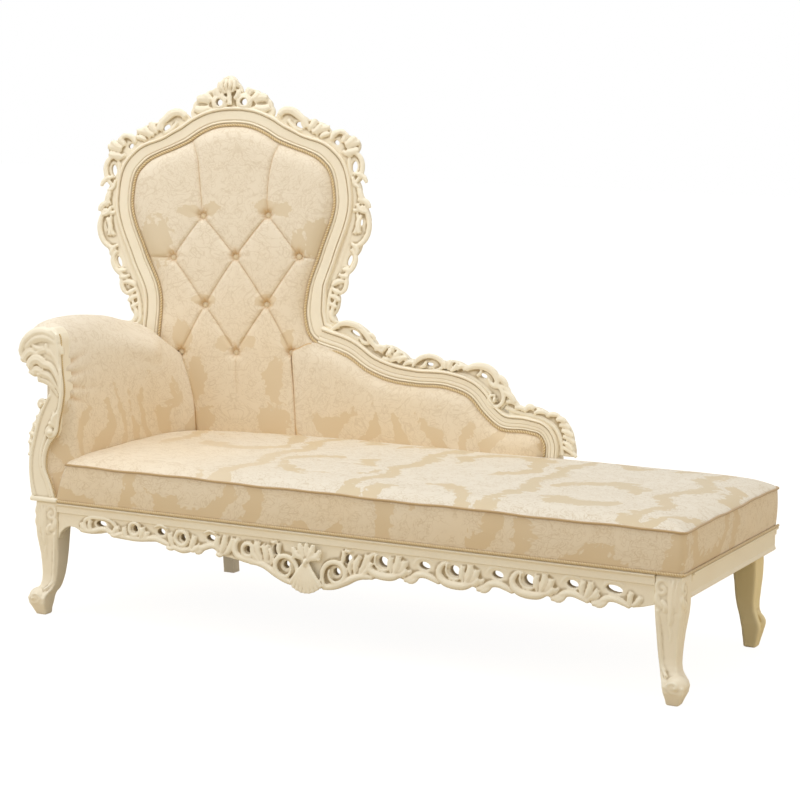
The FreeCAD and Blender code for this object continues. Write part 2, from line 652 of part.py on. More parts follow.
WEB_WIDTH = 50.0
WEB_THICK = 1.2
WEB_FLOOR = RAIL_TOP


def strap_places(first, last, count):
    return [first + (last - first) * i / (count - 1) for i in range(count)]


straps = [box(24, LENGTH - 10, y - WEB_WIDTH / 2, y + WEB_WIDTH / 2, WEB_FLOOR,
              WEB_FLOOR + WEB_THICK) for y in strap_places(105, 565, 6)]
straps += [box(x - WEB_WIDTH / 2, x + WEB_WIDTH / 2, 12, DEPTH - 12, WEB_FLOOR + WEB_THICK,
               WEB_FLOOR + 2 * WEB_THICK) for x in strap_places(150, 1560, 15)]
keep("seat_webbing", *[longest(cut_by(s, "back_left_stile", "back_right_stile",
                                      "arm_front_post", "arm_tack_rail")) for s in straps])

back_straps = [box(-198, 198, 15, 15 + WEB_THICK, h - WEB_WIDTH / 2, h + WEB_WIDTH / 2)
               for h in strap_places(70, 380, 4)]
back_straps += [box(-238, 238, 15, 15 + WEB_THICK, h - WEB_WIDTH / 2, h + WEB_WIDTH / 2)
                for h in strap_places(490, 690, 3)]
back_straps += [box(s - WEB_WIDTH / 2, s + WEB_WIDTH / 2, 15 + WEB_THICK, 15 + 2 * WEB_THICK, 5,
                    760) for s in strap_places(-140, 140, 3)]
keep("back_webbing", *[on_back(s) for s in back_straps])

cloth_plan = ((34, 96), (96, 34), (LENGTH - 96, 34), (LENGTH - 34, 96),
              (LENGTH - 34, DEPTH - 110), (LENGTH - 110, DEPTH - 34), (-60, DEPTH - 34))
cloth = Part.Face(Part.makePolygon([vec(x, y, FRONT_RAIL_BOTTOM - 1)
                                    for x, y in cloth_plan + cloth_plan[:1]]))
keep("dust_cover", longest(cut_by(cloth.extrude(vec(0, 0, 0.8)), "head_rail",
                                  "back_left_stile")))

# The tufted back: a crowned pad with a crease between neighbouring buttons

PAD_FRONT = -BACK_CROWN
PAD_BACK = 14.0
pad_right = list(CREST_HALF) + list(STILE_HALF[1:])
pad_points = [(-a, b) for a, b in reversed(pad_right[1:])] + pad_right
RISE = (DOWN[0], -DOWN[1])
PAD_LEFT_EDGE = -122.0
PAD_RIGHT_EDGE = 172.0
PAD_KNEE = STILE_HALF[-1][1]


def pad_ring(inset, depth):
    """The pad's outline, drawn in by inset, at a depth in the back's plane."""
    edges = smooth_edges(pad_points, RISE, DOWN, -inset)
    return [spot + vec(0, depth, 0) for spot in chord_points(edges, PAD_CHORDS)]


SHELF = 11.0
layers = ((GAP, PAD_BACK), (GAP, -1.5), (SHELF, -3.0), (SHELF + 20, PAD_FRONT))
pad = faceted([pad_ring(inset, depth) for inset, depth in layers])
apron_of_pad = box(PAD_LEFT_EDGE, PAD_RIGHT_EDGE, PAD_FRONT, PAD_BACK, -99, PAD_KNEE + 30)
pad = pad.fuse(apron_of_pad)
CREASE_HALF_WIDTH = 13.0


def crease(p, q):
    """A V-shaped groove from one point of the front face to another."""
    along = unit(q[0] - p[0], q[1] - p[1])
    across = (-along[1], along[0])
    corners = []
    for side, depth in ((CREASE_HALF_WIDTH, PAD_FRONT - 1), (0, PAD_FRONT + TUFT_DEPTH),
                        (-CREASE_HALF_WIDTH, PAD_FRONT - 1)):
        corners.append(vec(p[0] + across[0] * side, depth, p[1] + across[1] * side))
    face = Part.Face(Part.makePolygon(corners + corners[:1]))
    return face.extrude(vec(q[0] - p[0], 0, q[1] - p[1]))


buttons = [[(TUFT_SHIFT + s, h) for s in row] for h, row in BUTTON_ROWS]
creases = []
for upper, lower in zip(buttons, buttons[1:]):
    for p in upper:
        creases += [crease(p, q) for q in lower if abs(p[0] - q[0]) < 100]
top_ends = ((-92, 770), (118, 768))
creases += [crease(p, q) for p, q in zip(buttons[0], top_ends)]
for row, reach in ((1, 265), (3, 212)):
    creases.append(crease(buttons[row][0], (-reach, buttons[row][0][1])))
    creases.append(crease(buttons[row][2], (reach, buttons[row][2][1])))
creases.append(crease(buttons[3][1], (buttons[3][1][0], 40)))
BUTTON_SIDES = 8
DIMPLE_RADIUS = 24.0


def button_ring(middle, radius, depth):
    """The corners of a regular polygon round a point of the back's front."""
    turns = [2 * math.pi * i / BUTTON_SIDES for i in range(BUTTON_SIDES)]
    return [vec(middle[0] + radius * math.cos(a), depth, middle[1] + radius * math.sin(a))
            for a in turns]


dimples = []
for p in [spot for row in buttons for spot in row]:
    dimples.append(faceted([button_ring(p, DIMPLE_RADIUS, PAD_FRONT - 1),
                            button_ring(p, 4, PAD_FRONT + DIMPLE_RADIUS - 5)]))
pad = pad.cut(creases + dimples)
tufted = longest(cut_by(on_back(pad), "back_left_stile", "back_right_stile", "crest_rail",
                        "back_tack_rail", "back_webbing"))
keep("tufted_back_pad", tufted.cut(box(-400, 800, 0, 1200, 0, RAIL_TOP + 3)))
heads = []
BUTTON_BASE = PAD_FRONT - 1 + (DIMPLE_RADIUS - BUTTON_RADIUS) + 0.05
for p in [spot for row in buttons for spot in row]:
    head = faceted([button_ring(p, BUTTON_RADIUS, BUTTON_BASE),
                    button_ring(p, BUTTON_RADIUS * 0.9, BUTTON_BASE - 2.5),
                    button_ring(p, BUTTON_RADIUS * 0.5, BUTTON_BASE - 4.5)])
    heads.append(on_back(head))
keep("tuft_buttons", *heads)

# The wing's padding and webbing

PAD_LINE_END = (WING_END_X - GAP, 396.0)
WING_PAD_LEFT = 384.0
WING_PAD_FRONT = WING_FACE - 20
WING_FLOOR = RAIL_TOP + 3


def wing_ring(inset, y):
    """The wing pad's outline, drawn in along the top by inset."""
    edges = smooth_edges(WING_LINE, wing_way, (0.0, -1.0), -inset)
    spots = [spot + vec(0, y, 0) for spot in chord_points(edges, PAD_CHORDS)]
    return spots + [vec(spots[-1].x, y, WING_FLOOR), vec(WING_PAD_LEFT, y, WING_FLOOR),
                    vec(WING_PAD_LEFT, y, spots[0].z)]


wing_layers = ((GAP, WING_FACE + 8), (GAP, WING_FACE - 1.5), (SHELF, WING_FACE - 3),
               (SHELF + 9, WING_PAD_FRONT))
wing_pad = faceted([wing_ring(inset, y) for inset, y in wing_layers])
wing_pad = cut_by(wing_pad, "tufted_back_pad", "back_right_stile", "wing_rail",
                  "wing_tack_rail", "back_rail", "back_tack_rail", "right_side_carving",
                  "wing_upper_carving")
keep("wing_pad", longest(wing_pad))
wing_straps = [box(x - WEB_WIDTH / 2, x + WEB_WIDTH / 2, WING_FACE + 10,
                   WING_FACE + 10 + WEB_THICK, 300, top) for x, top in
               ((500, 590), (620, 550), (740, 540), (860, 500))]
keep("wing_webbing", *[longest(cut_by(s, "wing_rail", "back_right_stile", "wing_pad"))
                       for s in wing_straps])

# The arm's padding: it rolls over outwards and sweeps round into the back


def arm_ring(y, inner, crest_x, roll_x, top, floor=RAIL_TOP + 3):
    """One section of the arm: inner face, round top, roll to the outside, outer face."""
    inner_face = ((inner, floor), (inner - 5, top - 160), (inner - 8, top - 84))
    brow = ((crest_x + 57, top - 46), (crest_x + 44, top - 22), (crest_x + 20, top - 6))
    roll = ((crest_x - 8, top), (crest_x - 34, top - 12), (roll_x + 6, top - 38), (roll_x, top - 66))
    under = ((roll_x + 6, top - 92), (roll_x + 26, top - 106), (crest_x + 2, top - 160))
    outer_foot = ((inner - 96, floor),)
    return [vec(x, y, z) for x, z in inner_face + brow + roll + under + outer_foot]


ARM_SECTIONS = ((ARM_POST_BACK, 82.0, 8.0, -50.0, 724.0), (320.0, 77.0, -27.0, -95.0, 704.0),
                (450.0, 76.0, -45.0, -113.0, 678.0), (566.0, 150.0, -62.0, -120.0, 650.0))
arm_pad = faceted([arm_ring(*section) for section in ARM_SECTIONS])
arm_pad = cut_by(arm_pad, "tufted_back_pad", "tuft_buttons", "back_left_stile", "arm_top_rail",
                 "arm_tack_rail", "left_side_carving", "back_tack_rail", "back_rail",
                 "back_webbing", "head_rail")
keep("arm_pad", longest(arm_pad))

# The seat: a boxed pad with a crowned top and a cord of piping along its upper edge


def seat_wire(left, inset, z):
    """The seat's plan with its sides drawn in by inset, at height z."""
    right = LENGTH + 2 - inset
    front = -2 + inset
    rear = DEPTH - 2 - inset
    return Part.makePolygon([vec(left, front, z), vec(right, front, z), vec(right, rear, z),
                             vec(left, rear, z), vec(left, front, z)])


SEAT_LAYERS = ((66.0, 2.0, RAIL_TOP + 3), (78.0, 3.0, 330.0), (92.0, 0.0, PIPING_HEIGHT),
               (96.0, 26.0, PIPING_HEIGHT + SEAT_CROWN * 0.5),
               (104.0, 80.0, PIPING_HEIGHT + SEAT_CROWN * 0.88),
               (114.0, 170.0, PIPING_HEIGHT + SEAT_CROWN))
seat_pad = Part.makeLoft([seat_wire(*layer) for layer in SEAT_LAYERS], True, True)
behind_back = on_back(box(-200, 190, 0, 300, -130, 60))
behind_wing = box(300, WING_END_X, WING_FACE - 4, DEPTH, RAIL_TOP, 420)
seat_pad = seat_pad.cut([behind_back, behind_wing])
seat_pad = cut_by(seat_pad, "arm_pad", "tufted_back_pad", "wing_pad", "arm_front_post",
                  "wing_end_post", "wing_rail", "seat_webbing", "back_left_stile",
                  "back_right_stile")
keep("seat_pad", longest(seat_pad))


piping_z = PIPING_HEIGHT + 1.0
corner_in = 10.0
near = -2.0 - PIPING_RADIUS + 1.5
far_x = LENGTH + 2.0 + PIPING_RADIUS - 1.5
far_y = DEPTH - 2.0 + PIPING_RADIUS - 1.5
run_starts = (vec(88, near, piping_z), vec(far_x - corner_in, near, piping_z))
cord_path = [Part.LineSegment(*run_starts).toShape(),
             Part.Arc(run_starts[1], vec(far_x - corner_in * 0.29, near + corner_in * 0.29, piping_z),
                      vec(far_x, near + corner_in, piping_z)).toShape(),
             Part.LineSegment(vec(far_x, near + corner_in, piping_z),
                              vec(far_x, far_y - corner_in, piping_z)).toShape(),
             Part.Arc(vec(far_x, far_y - corner_in, piping_z),
                      vec(far_x - corner_in * 0.29, far_y - corner_in * 0.29, piping_z),
                      vec(far_x - corner_in, far_y, piping_z)).toShape(),
             Part.LineSegment(vec(far_x - corner_in, far_y, piping_z),
                              vec(1100, far_y, piping_z)).toShape()]
eighths = [2 * math.pi * (i + 0.5) / 8 for i in range(9)]
cord_ring = Part.makePolygon([run_starts[0] + vec(0, PIPING_RADIUS * math.cos(a),
                                                  PIPING_RADIUS * math.sin(a)) for a in eighths])
keep("seat_piping", cut_by(Part.Wire(cord_path).makePipeShell([cord_ring], True, False),
                           "seat_pad"))

# Gold braid along every joint of cloth and wood

BRAID = 8.5
BRAID_THICK = 2.5
back_braid = on_back(band(pad_points, RISE, DOWN, -BRAID - 1, -1, -3 - BRAID_THICK, -3.05))
keep("back_braid", longest(cut_by(back_braid, "arm_pad", "wing_pad")))
wing_braid = at_wing(band(WING_LINE, wing_way, (0.0, -1.0), -BRAID - 1, -1, -3 - BRAID_THICK,
                          -3.05))
keep("wing_braid", longest(cut_by(wing_braid, "back_right_stile", "tufted_back_pad",
                                  "right_side_carving")))
SEAT_BRAID_Z = RAIL_TOP + 9
braid_front = box(62, LENGTH + 6, -5, -2.2, RAIL_TOP, SEAT_BRAID_Z)
braid_end = box(LENGTH + 2.2, LENGTH + 5, -2.2, DEPTH - 2, RAIL_TOP, SEAT_BRAID_Z)
keep("seat_braid", cut_by(braid_front.fuse(braid_end), "seat_pad", "end_rail", "arm_front_post"))
arm_braid = band(post_inner, None, None, 0, 5, ARM_POST_BACK - 12, ARM_POST_BACK - 9)
keep("arm_braid", longest(cut_by(arm_braid, "arm_pad", "seat_pad", "arm_front_post")))

# Cloth covers on the outside of the back, the wing and the arm

COVER = 3.0
cover_start, cover_end = path_ends(pad_points, RISE, DOWN, 14.0)
cover_edges = smooth_edges(pad_points, RISE, DOWN, 14.0)
cover_edges += straight_edges((cover_end, (FOOT_INNER, FOOT_TOP - 60), (FOOT_INNER, -60),
                               (-FOOT_INNER, -60), (-FOOT_INNER, FOOT_TOP - 60), cover_start))
rear_cover = on_back(board(cover_edges, BACK_THICK + 0.2, BACK_THICK + COVER))
keep("back_outer_cover", rear_cover.cut(rails_below))
wing_cover_start, wing_cover_end = path_ends(WING_LINE, wing_way, (0.0, -1.0), 12.0)
wing_cover_edges = smooth_edges(WING_LINE, wing_way, (0.0, -1.0), 12.0)
wing_cover_edges += straight_edges((wing_cover_end, (wing_cover_end[0], RAIL_BOTTOM + 6),
                                    (wing_cover_start[0], RAIL_BOTTOM + 6), wing_cover_start))
wing_cover = board(wing_cover_edges, WING_FACE + WING_THICK + 0.2, WING_FACE + WING_THICK + COVER)
keep("wing_outer_cover", cut_by(wing_cover, "back_outer_cover", "back_right_stile",
                                "right_side_carving"))
arm_cover = turned(box(HEAD_RAIL_S[0] - COVER, HEAD_RAIL_S[0], -560, 70, RAIL_BOTTOM + 6, 600))
arm_cover = arm_cover.common(box(-300, 200, ARM_POST_BACK, DEPTH - RAIL_THICK, 0, 900))
keep("arm_outer_cover", longest(cut_by(arm_cover, "arm_pad", "arm_leaf_carving",
                                       "back_left_stile", "left_side_carving",
                                       "arm_front_post", "front_left_leg")))

# Every piece is written about the middle of the whole

everything = Part.makeCompound([solid for solids in PARTS.values() for solid in solids])
bounds = everything.optimalBoundingBox(False, False)
middle = vec((bounds.XMin + bounds.XMax) / 2, (bounds.YMin + bounds.YMax) / 2, 0)
os.makedirs("parts", exist_ok=True)
for node, solids in PARTS.items():
    piece = Part.makeCompound([solid.copy() for solid in solids])
    piece.translate(-middle)
    print(node, len(solids), "solids", "ok" if piece.isValid() else "BAD")
    piece.exportStep("parts/" + node + ".step")
print("middle", round(middle.x, 2), round(middle.y, 2))
print("size", round(bounds.XLength, 1), round(bounds.YLength, 1), round(bounds.ZLength, 1))
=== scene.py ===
# %% [markdown]
# A carved and painted chaise longue. This lesson dresses a finished construction model: every
# piece is made in metres in the construction's own frame, so that it lies where it is built.
# Hard pieces are shaped first, then the carving, then the cloth, the cords and the buttons.

# %% Load the frame
import bpy
import math
import numpy as np
from mathutils import Matrix, Vector


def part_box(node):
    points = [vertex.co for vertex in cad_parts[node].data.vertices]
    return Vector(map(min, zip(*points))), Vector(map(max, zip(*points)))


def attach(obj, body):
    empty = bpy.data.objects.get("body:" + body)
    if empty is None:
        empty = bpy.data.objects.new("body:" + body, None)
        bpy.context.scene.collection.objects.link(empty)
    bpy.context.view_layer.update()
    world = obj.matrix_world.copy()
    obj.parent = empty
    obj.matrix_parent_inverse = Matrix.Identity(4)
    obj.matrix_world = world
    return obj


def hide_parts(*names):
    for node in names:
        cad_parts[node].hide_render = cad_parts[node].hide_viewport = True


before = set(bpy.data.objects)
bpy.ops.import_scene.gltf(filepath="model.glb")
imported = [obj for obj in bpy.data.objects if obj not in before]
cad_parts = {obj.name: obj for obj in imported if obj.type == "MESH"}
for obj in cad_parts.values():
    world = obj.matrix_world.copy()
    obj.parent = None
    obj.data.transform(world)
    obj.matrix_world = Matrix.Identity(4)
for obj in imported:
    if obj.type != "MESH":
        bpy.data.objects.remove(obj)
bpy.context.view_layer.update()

print("the construction has", len(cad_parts), "pieces")

# %% [markdown]
# The maker's drawing is in millimetres, with x along the front rail, y towards the back and z up
# from the floor. The construction is centred on the floor, so one known corner, the low corner of
# the front rail, gives the shift between the drawing and the frame.

# %% Places on the drawing
RAIL_CORNER = np.array((62.0, -6.0, 258.0))
SHIFT = RAIL_CORNER - 1000 * np.array(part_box("front_rail")[0])
BACK_FOOT = (207.0, 586.0, 380.0)
BACK_TILT = (Matrix.Rotation(math.radians(12.0), 3, "Z") @ Matrix.Rotation(math.radians(-5.0), 3,
    "X") @ Matrix.Rotation(math.radians(-2.45), 3, "Y"))
BACK_AXES = np.array(BACK_TILT)
WING_FACE = 650.0


def metres(points):
    """From the drawing's millimetres to the frame's metres."""
    return (np.asarray(points, float) - SHIFT) / 1000


def on_back(points):
    """From the back's own plane (across, depth, up) to the drawing."""
    return np.asarray(points, float) @ BACK_AXES.T + np.array(BACK_FOOT)


def on_wing(points):
    """From the wing's plane (x, depth, z) to the drawing."""
    return np.asarray(points, float) + np.array((0.0, WING_FACE, 0.0))


def as_drawn(points):
    """Points that are already given on the drawing."""
    return np.asarray(points, float)


print("drawing to frame shift, mm:", np.round(SHIFT, 2))

# %% [markdown]
# The camera stands where the photographer stood: to the right of the foot end, a little above the
# seat, with a long lens. Its place was found from the level lines of the rails and the feet.

# %% Camera
YAW, PITCH, ROLL = (math.radians(a) for a in (26.454, -8.081, 1.105))
CAMERA_SPOT = (3254.2, -4575.0, 1330.0)
LENS, FILM = 105.04, 36.0
look = Vector((-math.sin(YAW) * math.cos(PITCH), math.cos(YAW) * math.cos(PITCH), math.sin(PITCH)))
side = look.cross(Vector((0, 0, 1))).normalized()
rise = side.cross(look)
right = math.cos(ROLL) * side + math.sin(ROLL) * rise
above = -math.sin(ROLL) * side + math.cos(ROLL) * rise
camera = bpy.data.objects.new("camera", bpy.data.cameras.new("camera"))
bpy.context.scene.collection.objects.link(camera)
camera.matrix_world = Matrix.Translation(Vector(metres(CAMERA_SPOT))) @ Matrix(
    (right, above, -look)).transposed().to_4x4()
camera.data.lens = LENS
camera.data.sensor_width = FILM
bpy.context.scene.camera = camera
print("camera at", tuple(round(v, 3) for v in camera.location))

# %% [markdown]
# Shader maths reads best as plain sums. A small class wraps a node's output, and + - * / on it add
# the Math nodes; every other node comes from one method of the finish that is being mixed.


# %% Finishes as sums
class Value:
    """A number or colour on its way through a finish."""

    def __init__(self, finish, socket):
        self.finish = finish
        self.socket = socket

    def math(self, operation, *others, clamp=False):
        settings = {"operation": operation, "use_clamp": clamp}
        return self.finish.node("ShaderNodeMath", settings, (self,) + others)

    def __add__(self, other):
        return self.math("ADD", other)

    def __sub__(self, other):
        return self.math("SUBTRACT", other)

    def __rsub__(self, other):
        return self.finish.node("ShaderNodeMath", {"operation": "SUBTRACT"}, (other, self))

    def __mul__(self, other):
        return self.math("MULTIPLY", other)

    def __truediv__(self, other):
        return self.math("DIVIDE", other)

    __radd__ = __add__
    __rmul__ = __mul__

    def between(self, low, high):
        """0 below low, 1 above high, and smooth on the way."""
        return self.finish.node("ShaderNodeMapRange", {"interpolation_type": "SMOOTHSTEP"},
                                {"Value": self, "From Min": low, "From Max": high})


class Finish:
    """One material, with its shader ready to be fed."""

    def __init__(self, name, **constants):
        self.material = bpy.data.materials.new(name)
        self.material.use_nodes = True
        self.tree = self.material.node_tree
        self.shader = self.tree.nodes["Principled BSDF"]
        for socket, value in constants.items():
            self.shader.inputs[socket.replace("_", " ")].default_value = value

    def node(self, kind, settings=None, values=(), out=0):
        made = self.tree.nodes.new(kind)
        for name, value in (settings or {}).items():
            setattr(made, name, value)
        pairs = values.items() if isinstance(values, dict) else enumerate(values)
        for key, value in pairs:
            if isinstance(value, Value):
                self.tree.links.new(value.socket, made.inputs[key])
            else:
                made.inputs[key].default_value = value
        return Value(self, made.outputs[out])

    def mix(self, first, second, factor, blend="MIX"):
        return self.node("ShaderNodeMix", {"data_type": "RGBA", "blend_type": blend},
                         {0: factor, 6: first, 7: second}, out=2)

    def feed(self, **values):
        for socket, value in values.items():
            self.tree.links.new(value.socket, self.shader.inputs[socket.replace("_", " ")])

    def place(self):
        return self.node("ShaderNodeTexCoord", out=3)

    def noise(self, vector, scale, detail=4.0, rough=0.55):
        return self.node("ShaderNodeTexNoise", {},
                         {"Vector": vector, "Scale": scale, "Detail": detail, "Roughness": rough})

    def stored(self, name):
        return self.node("ShaderNodeAttribute", {"attribute_name": name}, out=2)

    def bump(self, height, strength, distance):
        return self.node("ShaderNodeBump", {}, {"Height": height, "Strength": strength,
                                                "Distance": distance})


def paint(red, green, blue):
    """A colour as the eye names it, 0 to 255, made linear for the shader."""
    parts = [c / 255 for c in (red, green, blue)]
    return tuple(c / 12.92 if c <= 0.04045 else ((c + 0.055) / 1.055) ** 2.4
        for c in parts) + (1.0,)


print("finishes are mixed with a class of", len(vars(Value)), "entries")

# %% [markdown]
# The frame is painted cream over carved hardwood. A thin darker glaze stays in the hollows of the
# carving and is wiped off the high places; the same darker colour is also painted shade, for the
# shadow that falls in those hollows. The hollows are measured on the mesh and stored at its points
# as "hollow", so the glaze and the painted shade follow the real shape from every side. The rear
# leg is given a more golden copy of the paint, as painted shade for the warm, dim light on it.

# %% Cream paint with glaze and painted shade in the hollows
CREAM = paint(244, 232, 207)
CREAM_WORN = paint(248, 240, 218)
GLAZE_AND_SHADE = paint(158, 132, 84)
SATIN_ROUGH = 0.42


def cream_paint(name, glaze_and_shade, base=CREAM, rubbed=CREAM_WORN):
    """Brushed paint, rubbed lighter on the high places, with glaze and painted shade in the
    hollows.
    """
    finish = Finish(name)
    place = finish.place()
    cloudy = finish.noise(place, 9.0, 5.0).between(0.3, 0.7)
    brushed = finish.noise(finish.node("ShaderNodeMapping", {}, {0: place, 3: (30.0, 160.0, 60.0)}),
                           1.0, 3.0)
    hollow = finish.stored("hollow")
    coat = finish.mix(base, rubbed, cloudy * 0.5)
    worn = finish.mix(coat, rubbed, (0 - hollow).between(0.15, 1.2) * 0.7)
    patchy = finish.noise(place, 60.0, 3.0).between(0.2, 0.65) * 0.45 + 0.55
    # The glaze colour is also painted shade: it darkens the hollows and the walls behind the front.
    glazed_and_shaded = finish.mix(worn, glaze_and_shade, hollow.between(0.1, 1.5) * patchy * 0.85)
    finish.feed(Base_Color=glazed_and_shaded, Roughness=SATIN_ROUGH + 0.12 * cloudy,
                Normal=finish.bump(brushed, 0.12, 0.0008))
    return finish.material


cream = cream_paint("cream_paint", GLAZE_AND_SHADE)
# A more golden copy of the paint for the rear leg: painted shade, for the warm, dim light on it.
cream_in_shade = cream_paint("shaded_cream_paint", paint(190, 162, 100), paint(238, 219, 166), paint(243, 226, 180))
print("paints:", cream.name, cream_in_shade.name)

# %% [markdown]
# Hidden rails are bare beech with a straight grain, so they are a plain wood: long stretched noise
# for the grain, and darker lines where it closes up.

# %% Bare beech, webbing and lining cloths
def bare_wood():
    """Unpainted beech, grain along x."""
    finish = Finish("bare_beech")
    long_grain = finish.node("ShaderNodeMapping", {}, {0: finish.place(), 3: (4.0, 45.0, 45.0)})
    grain = finish.noise(long_grain, 2.0, 6.0, 0.6)
    tone = finish.mix(paint(202, 168, 122), paint(168, 128, 84), grain.between(0.35, 0.7))
    finish.feed(Base_Color=tone, Roughness=0.55 + 0.2 * grain,
        Normal=finish.bump(grain, 0.2, 0.001))
    return finish.material


def plain_weave(name, light, dark, threads, rough):
    """Two sets of threads that cross; threads is how many there are to a metre."""
    finish = Finish(name, Sheen_Weight=0.2)
    place = finish.node("ShaderNodeSeparateXYZ", {}, {0: finish.place()})
    across = Value(finish, place.socket.node.outputs[0])
    along = Value(finish, place.socket.node.outputs[1])
    up = Value(finish, place.socket.node.outputs[2])
    warp = ((across + along) * threads * 6.283).math("SINE")
    weft = ((up + along * 0.7) * threads * 6.283).math("SINE")
    weave = warp * weft * 0.5 + 0.5
    soiled = finish.noise(finish.place(), 14.0).between(0.35, 0.7)
    tone = finish.mix(finish.mix(dark, light, weave), dark, soiled * 0.3)
    finish.feed(Base_Color=tone, Roughness=rough + 0.1 * soiled,
                Normal=finish.bump(weave, 0.3, 0.0006))
    return finish.material


beech = bare_wood()
jute = plain_weave("jute_webbing", paint(196, 172, 128), paint(150, 124, 84), 380.0, 0.8)
lining = plain_weave("lining_cloth", paint(226, 212, 182), paint(196, 178, 144), 650.0, 0.75)
dust_black = plain_weave("dust_cloth", paint(74, 70, 66), paint(48, 45, 43), 500.0, 0.85)
print("hidden finishes:", [m.name for m in (beech, jute, lining, dust_black)])

# %% [markdown]
# The cloth is a damask: ivory foliage on a satin ground, woven in one thread colour. Broad columns
# of foliage stand side by side with a ragged strip of ground between them and a broken ring of
# ground inside them. The pattern is worked out on a folded copy of the cloth's own co-ordinates, in
# metres, so that every bouquet is symmetrical. Rounded cells fray its edges, and the lines drawn
# inside it are contours of two noises and the walls of small cells. Four stored values change it:
# a shade tint makes the cloth golden and darker as painted shade, lower down and on the seat's
# border; "plain" leaves out the strips and rings; "bare" lays the ground open in patches; and a
# shade-and-sheen value turns it golden, as painted shade in the creases and painted sheen in the
# pockets by the buttons.

# %% Damask
REPEAT_WIDE = 0.34
REPEAT_HIGH = 0.46
MEDALLION = 0.108
STRIP_HALF, RING_HALF = 0.014, 0.016
WELL_INSIDE = 0.03


def damask_cloth(name):
    """The one cloth of the back, arm, wing and seat."""
    finish = Finish(name, Sheen_Weight=0.12, Sheen_Roughness=0.4)
    cloth = finish.node("ShaderNodeUVMap", {"uv_map": "cloth"})
    shade_tint, plain, bare, shade_and_sheen_mark = (
        finish.stored(kept) for kept in ("shade_tint", "plain", "bare", "shade_and_sheen"))
    parts = finish.node("ShaderNodeSeparateXYZ", {}, {0: cloth})
    high = Value(finish, parts.socket.node.outputs[1]) / REPEAT_HIGH
    sway = finish.noise(cloth, 6.0, 2.0) - 0.5
    wide = Value(finish, parts.socket.node.outputs[0]) / REPEAT_WIDE + sway * 0.26
    wide = wide + (high * 12.566).math("SINE") * 0.045
    column = (wide + 0.5).math("FLOOR")
    folded = (wide - column).math("ABSOLUTE") * REPEAT_WIDE
    lift = high + column * 0.5
    level = (lift.math("FRACT") - 0.5) * REPEAT_HIGH
    motif = finish.node("ShaderNodeCombineXYZ", {}, (folded, lift * REPEAT_HIGH, column * 0.037))
    lobes = finish.node("ShaderNodeTexVoronoi", {"feature": "SMOOTH_F1"},
                        {"Vector": motif, "Scale": 62.0, "Smoothness": 0.2})
    teeth = finish.node("ShaderNodeTexVoronoi", {}, {"Vector": motif, "Scale": 150.0})
    broad = finish.noise(motif, 16.0, 2.0)
    frayed = (broad - 0.5) * 0.056 + (0.40 - lobes) * 0.024 + (0.38 - teeth) * 0.010
    out = (folded.math("POWER", 2.0) + (level * 0.85).math("POWER", 2.0)).math("SQRT")
    broken = finish.noise(cloth, 7.0, 1.0).between(0.48, 0.64) * 0.04
    broken_ring = (out - MEDALLION).math("ABSOLUTE") - RING_HALF + broken
    column_edge = (REPEAT_WIDE / 2 - STRIP_HALF) - folded
    plainly = plain.between(0.5, 0.95)
    woven = column_edge.math("MINIMUM", broken_ring).math("MINIMUM", WELL_INSIDE)
    field = woven + (WELL_INSIDE - woven) * plainly + frayed - bare * 0.055
    mass = field.between(0.0, 0.003)
    drawn_leaf = finish.node("ShaderNodeTexNoise", {},
        {"Vector": motif, "Scale": 34.0, "Detail": 2.0, "Roughness": 0.5, "Distortion": 0.9})
    curls = (drawn_leaf - 0.5).math("ABSOLUTE")
    curls = curls.math("MINIMUM", (drawn_leaf - 0.6).math("ABSOLUTE")).between(0.006, 0.026)
    cells = finish.node("ShaderNodeTexVoronoi", {"feature": "DISTANCE_TO_EDGE"},
        {"Vector": motif, "Scale": 84.0})
    inked = finish.noise(motif, 30.0, 2.0).between(0.42, 0.6)
    bold = finish.node("ShaderNodeTexNoise", {},
        {"Vector": motif, "Scale": 15.0, "Detail": 1.5, "Roughness": 0.5, "Distortion": 1.6})
    bold = ((bold - 0.5).math("ABSOLUTE").between(0.004, 0.022) - 1) * plainly * -1
    lines = ((1 - curls) * 0.6 + bold * 0.7 + (1 - cells.between(0.01, 0.07)) * inked * 0.8).math(
        "MINIMUM", 1.0)
    thread = finish.noise(finish.node("ShaderNodeMapping", {}, {0: cloth, 3: (900.0, 2600.0, 1.0)}),
        1.0, 2.0)
    soft = finish.noise(cloth, 3.2, 3.0).between(0.3, 0.7)
    faint = plain * 0.86 - plainly * 0.4
    # The shade tint is painted shade: lower down and on the seat's border the foliage and ground
    # turn golden and darker.
    foliage = finish.mix(finish.mix(paint(231, 221, 202), paint(238, 227, 207), plainly),
        paint(234, 212, 176), shade_tint * (0.8 + 0.4 * soft))
    open_ground = finish.mix(paint(214, 196, 161), paint(219, 189, 142), shade_tint)
    ground = finish.mix(open_ground, foliage, faint * 0.86)
    leaf = finish.mix(foliage, finish.mix(open_ground, paint(182, 156, 120), 0.5),
        lines * (0.55 - 0.2 * plain))
    satin = finish.mix(ground, paint(219, 188, 140), soft * 0.25 * (1 - faint))
    tone = finish.mix(satin, leaf, mass)
    # Painted shade in the creases and painted sheen in the pockets by the buttons turn the cloth
    # golden.
    tone = finish.mix(tone, paint(205, 163, 102),
        (shade_and_sheen_mark * (0.75 + 0.5 * soft)).between(0.05, 1.1) * 0.85)
    relief = mass * 0.5 - lines * 0.8 * mass + thread * 0.3
    finish.feed(Base_Color=tone, Roughness=0.5 + 0.25 * mass + 0.1 * thread,
                Normal=finish.bump(relief, 0.3, 0.001))
    return finish.material


damask = damask_cloth("ivory_damask")
print("damask repeat, m:", REPEAT_WIDE, "by", REPEAT_HIGH)

# %% [markdown]
# The trimmings: a gold braid twisted from two strands, the tan welt round the seat, and satin
# button covers. The braid's strands are real geometry, and its fibres are fine slanted lines.

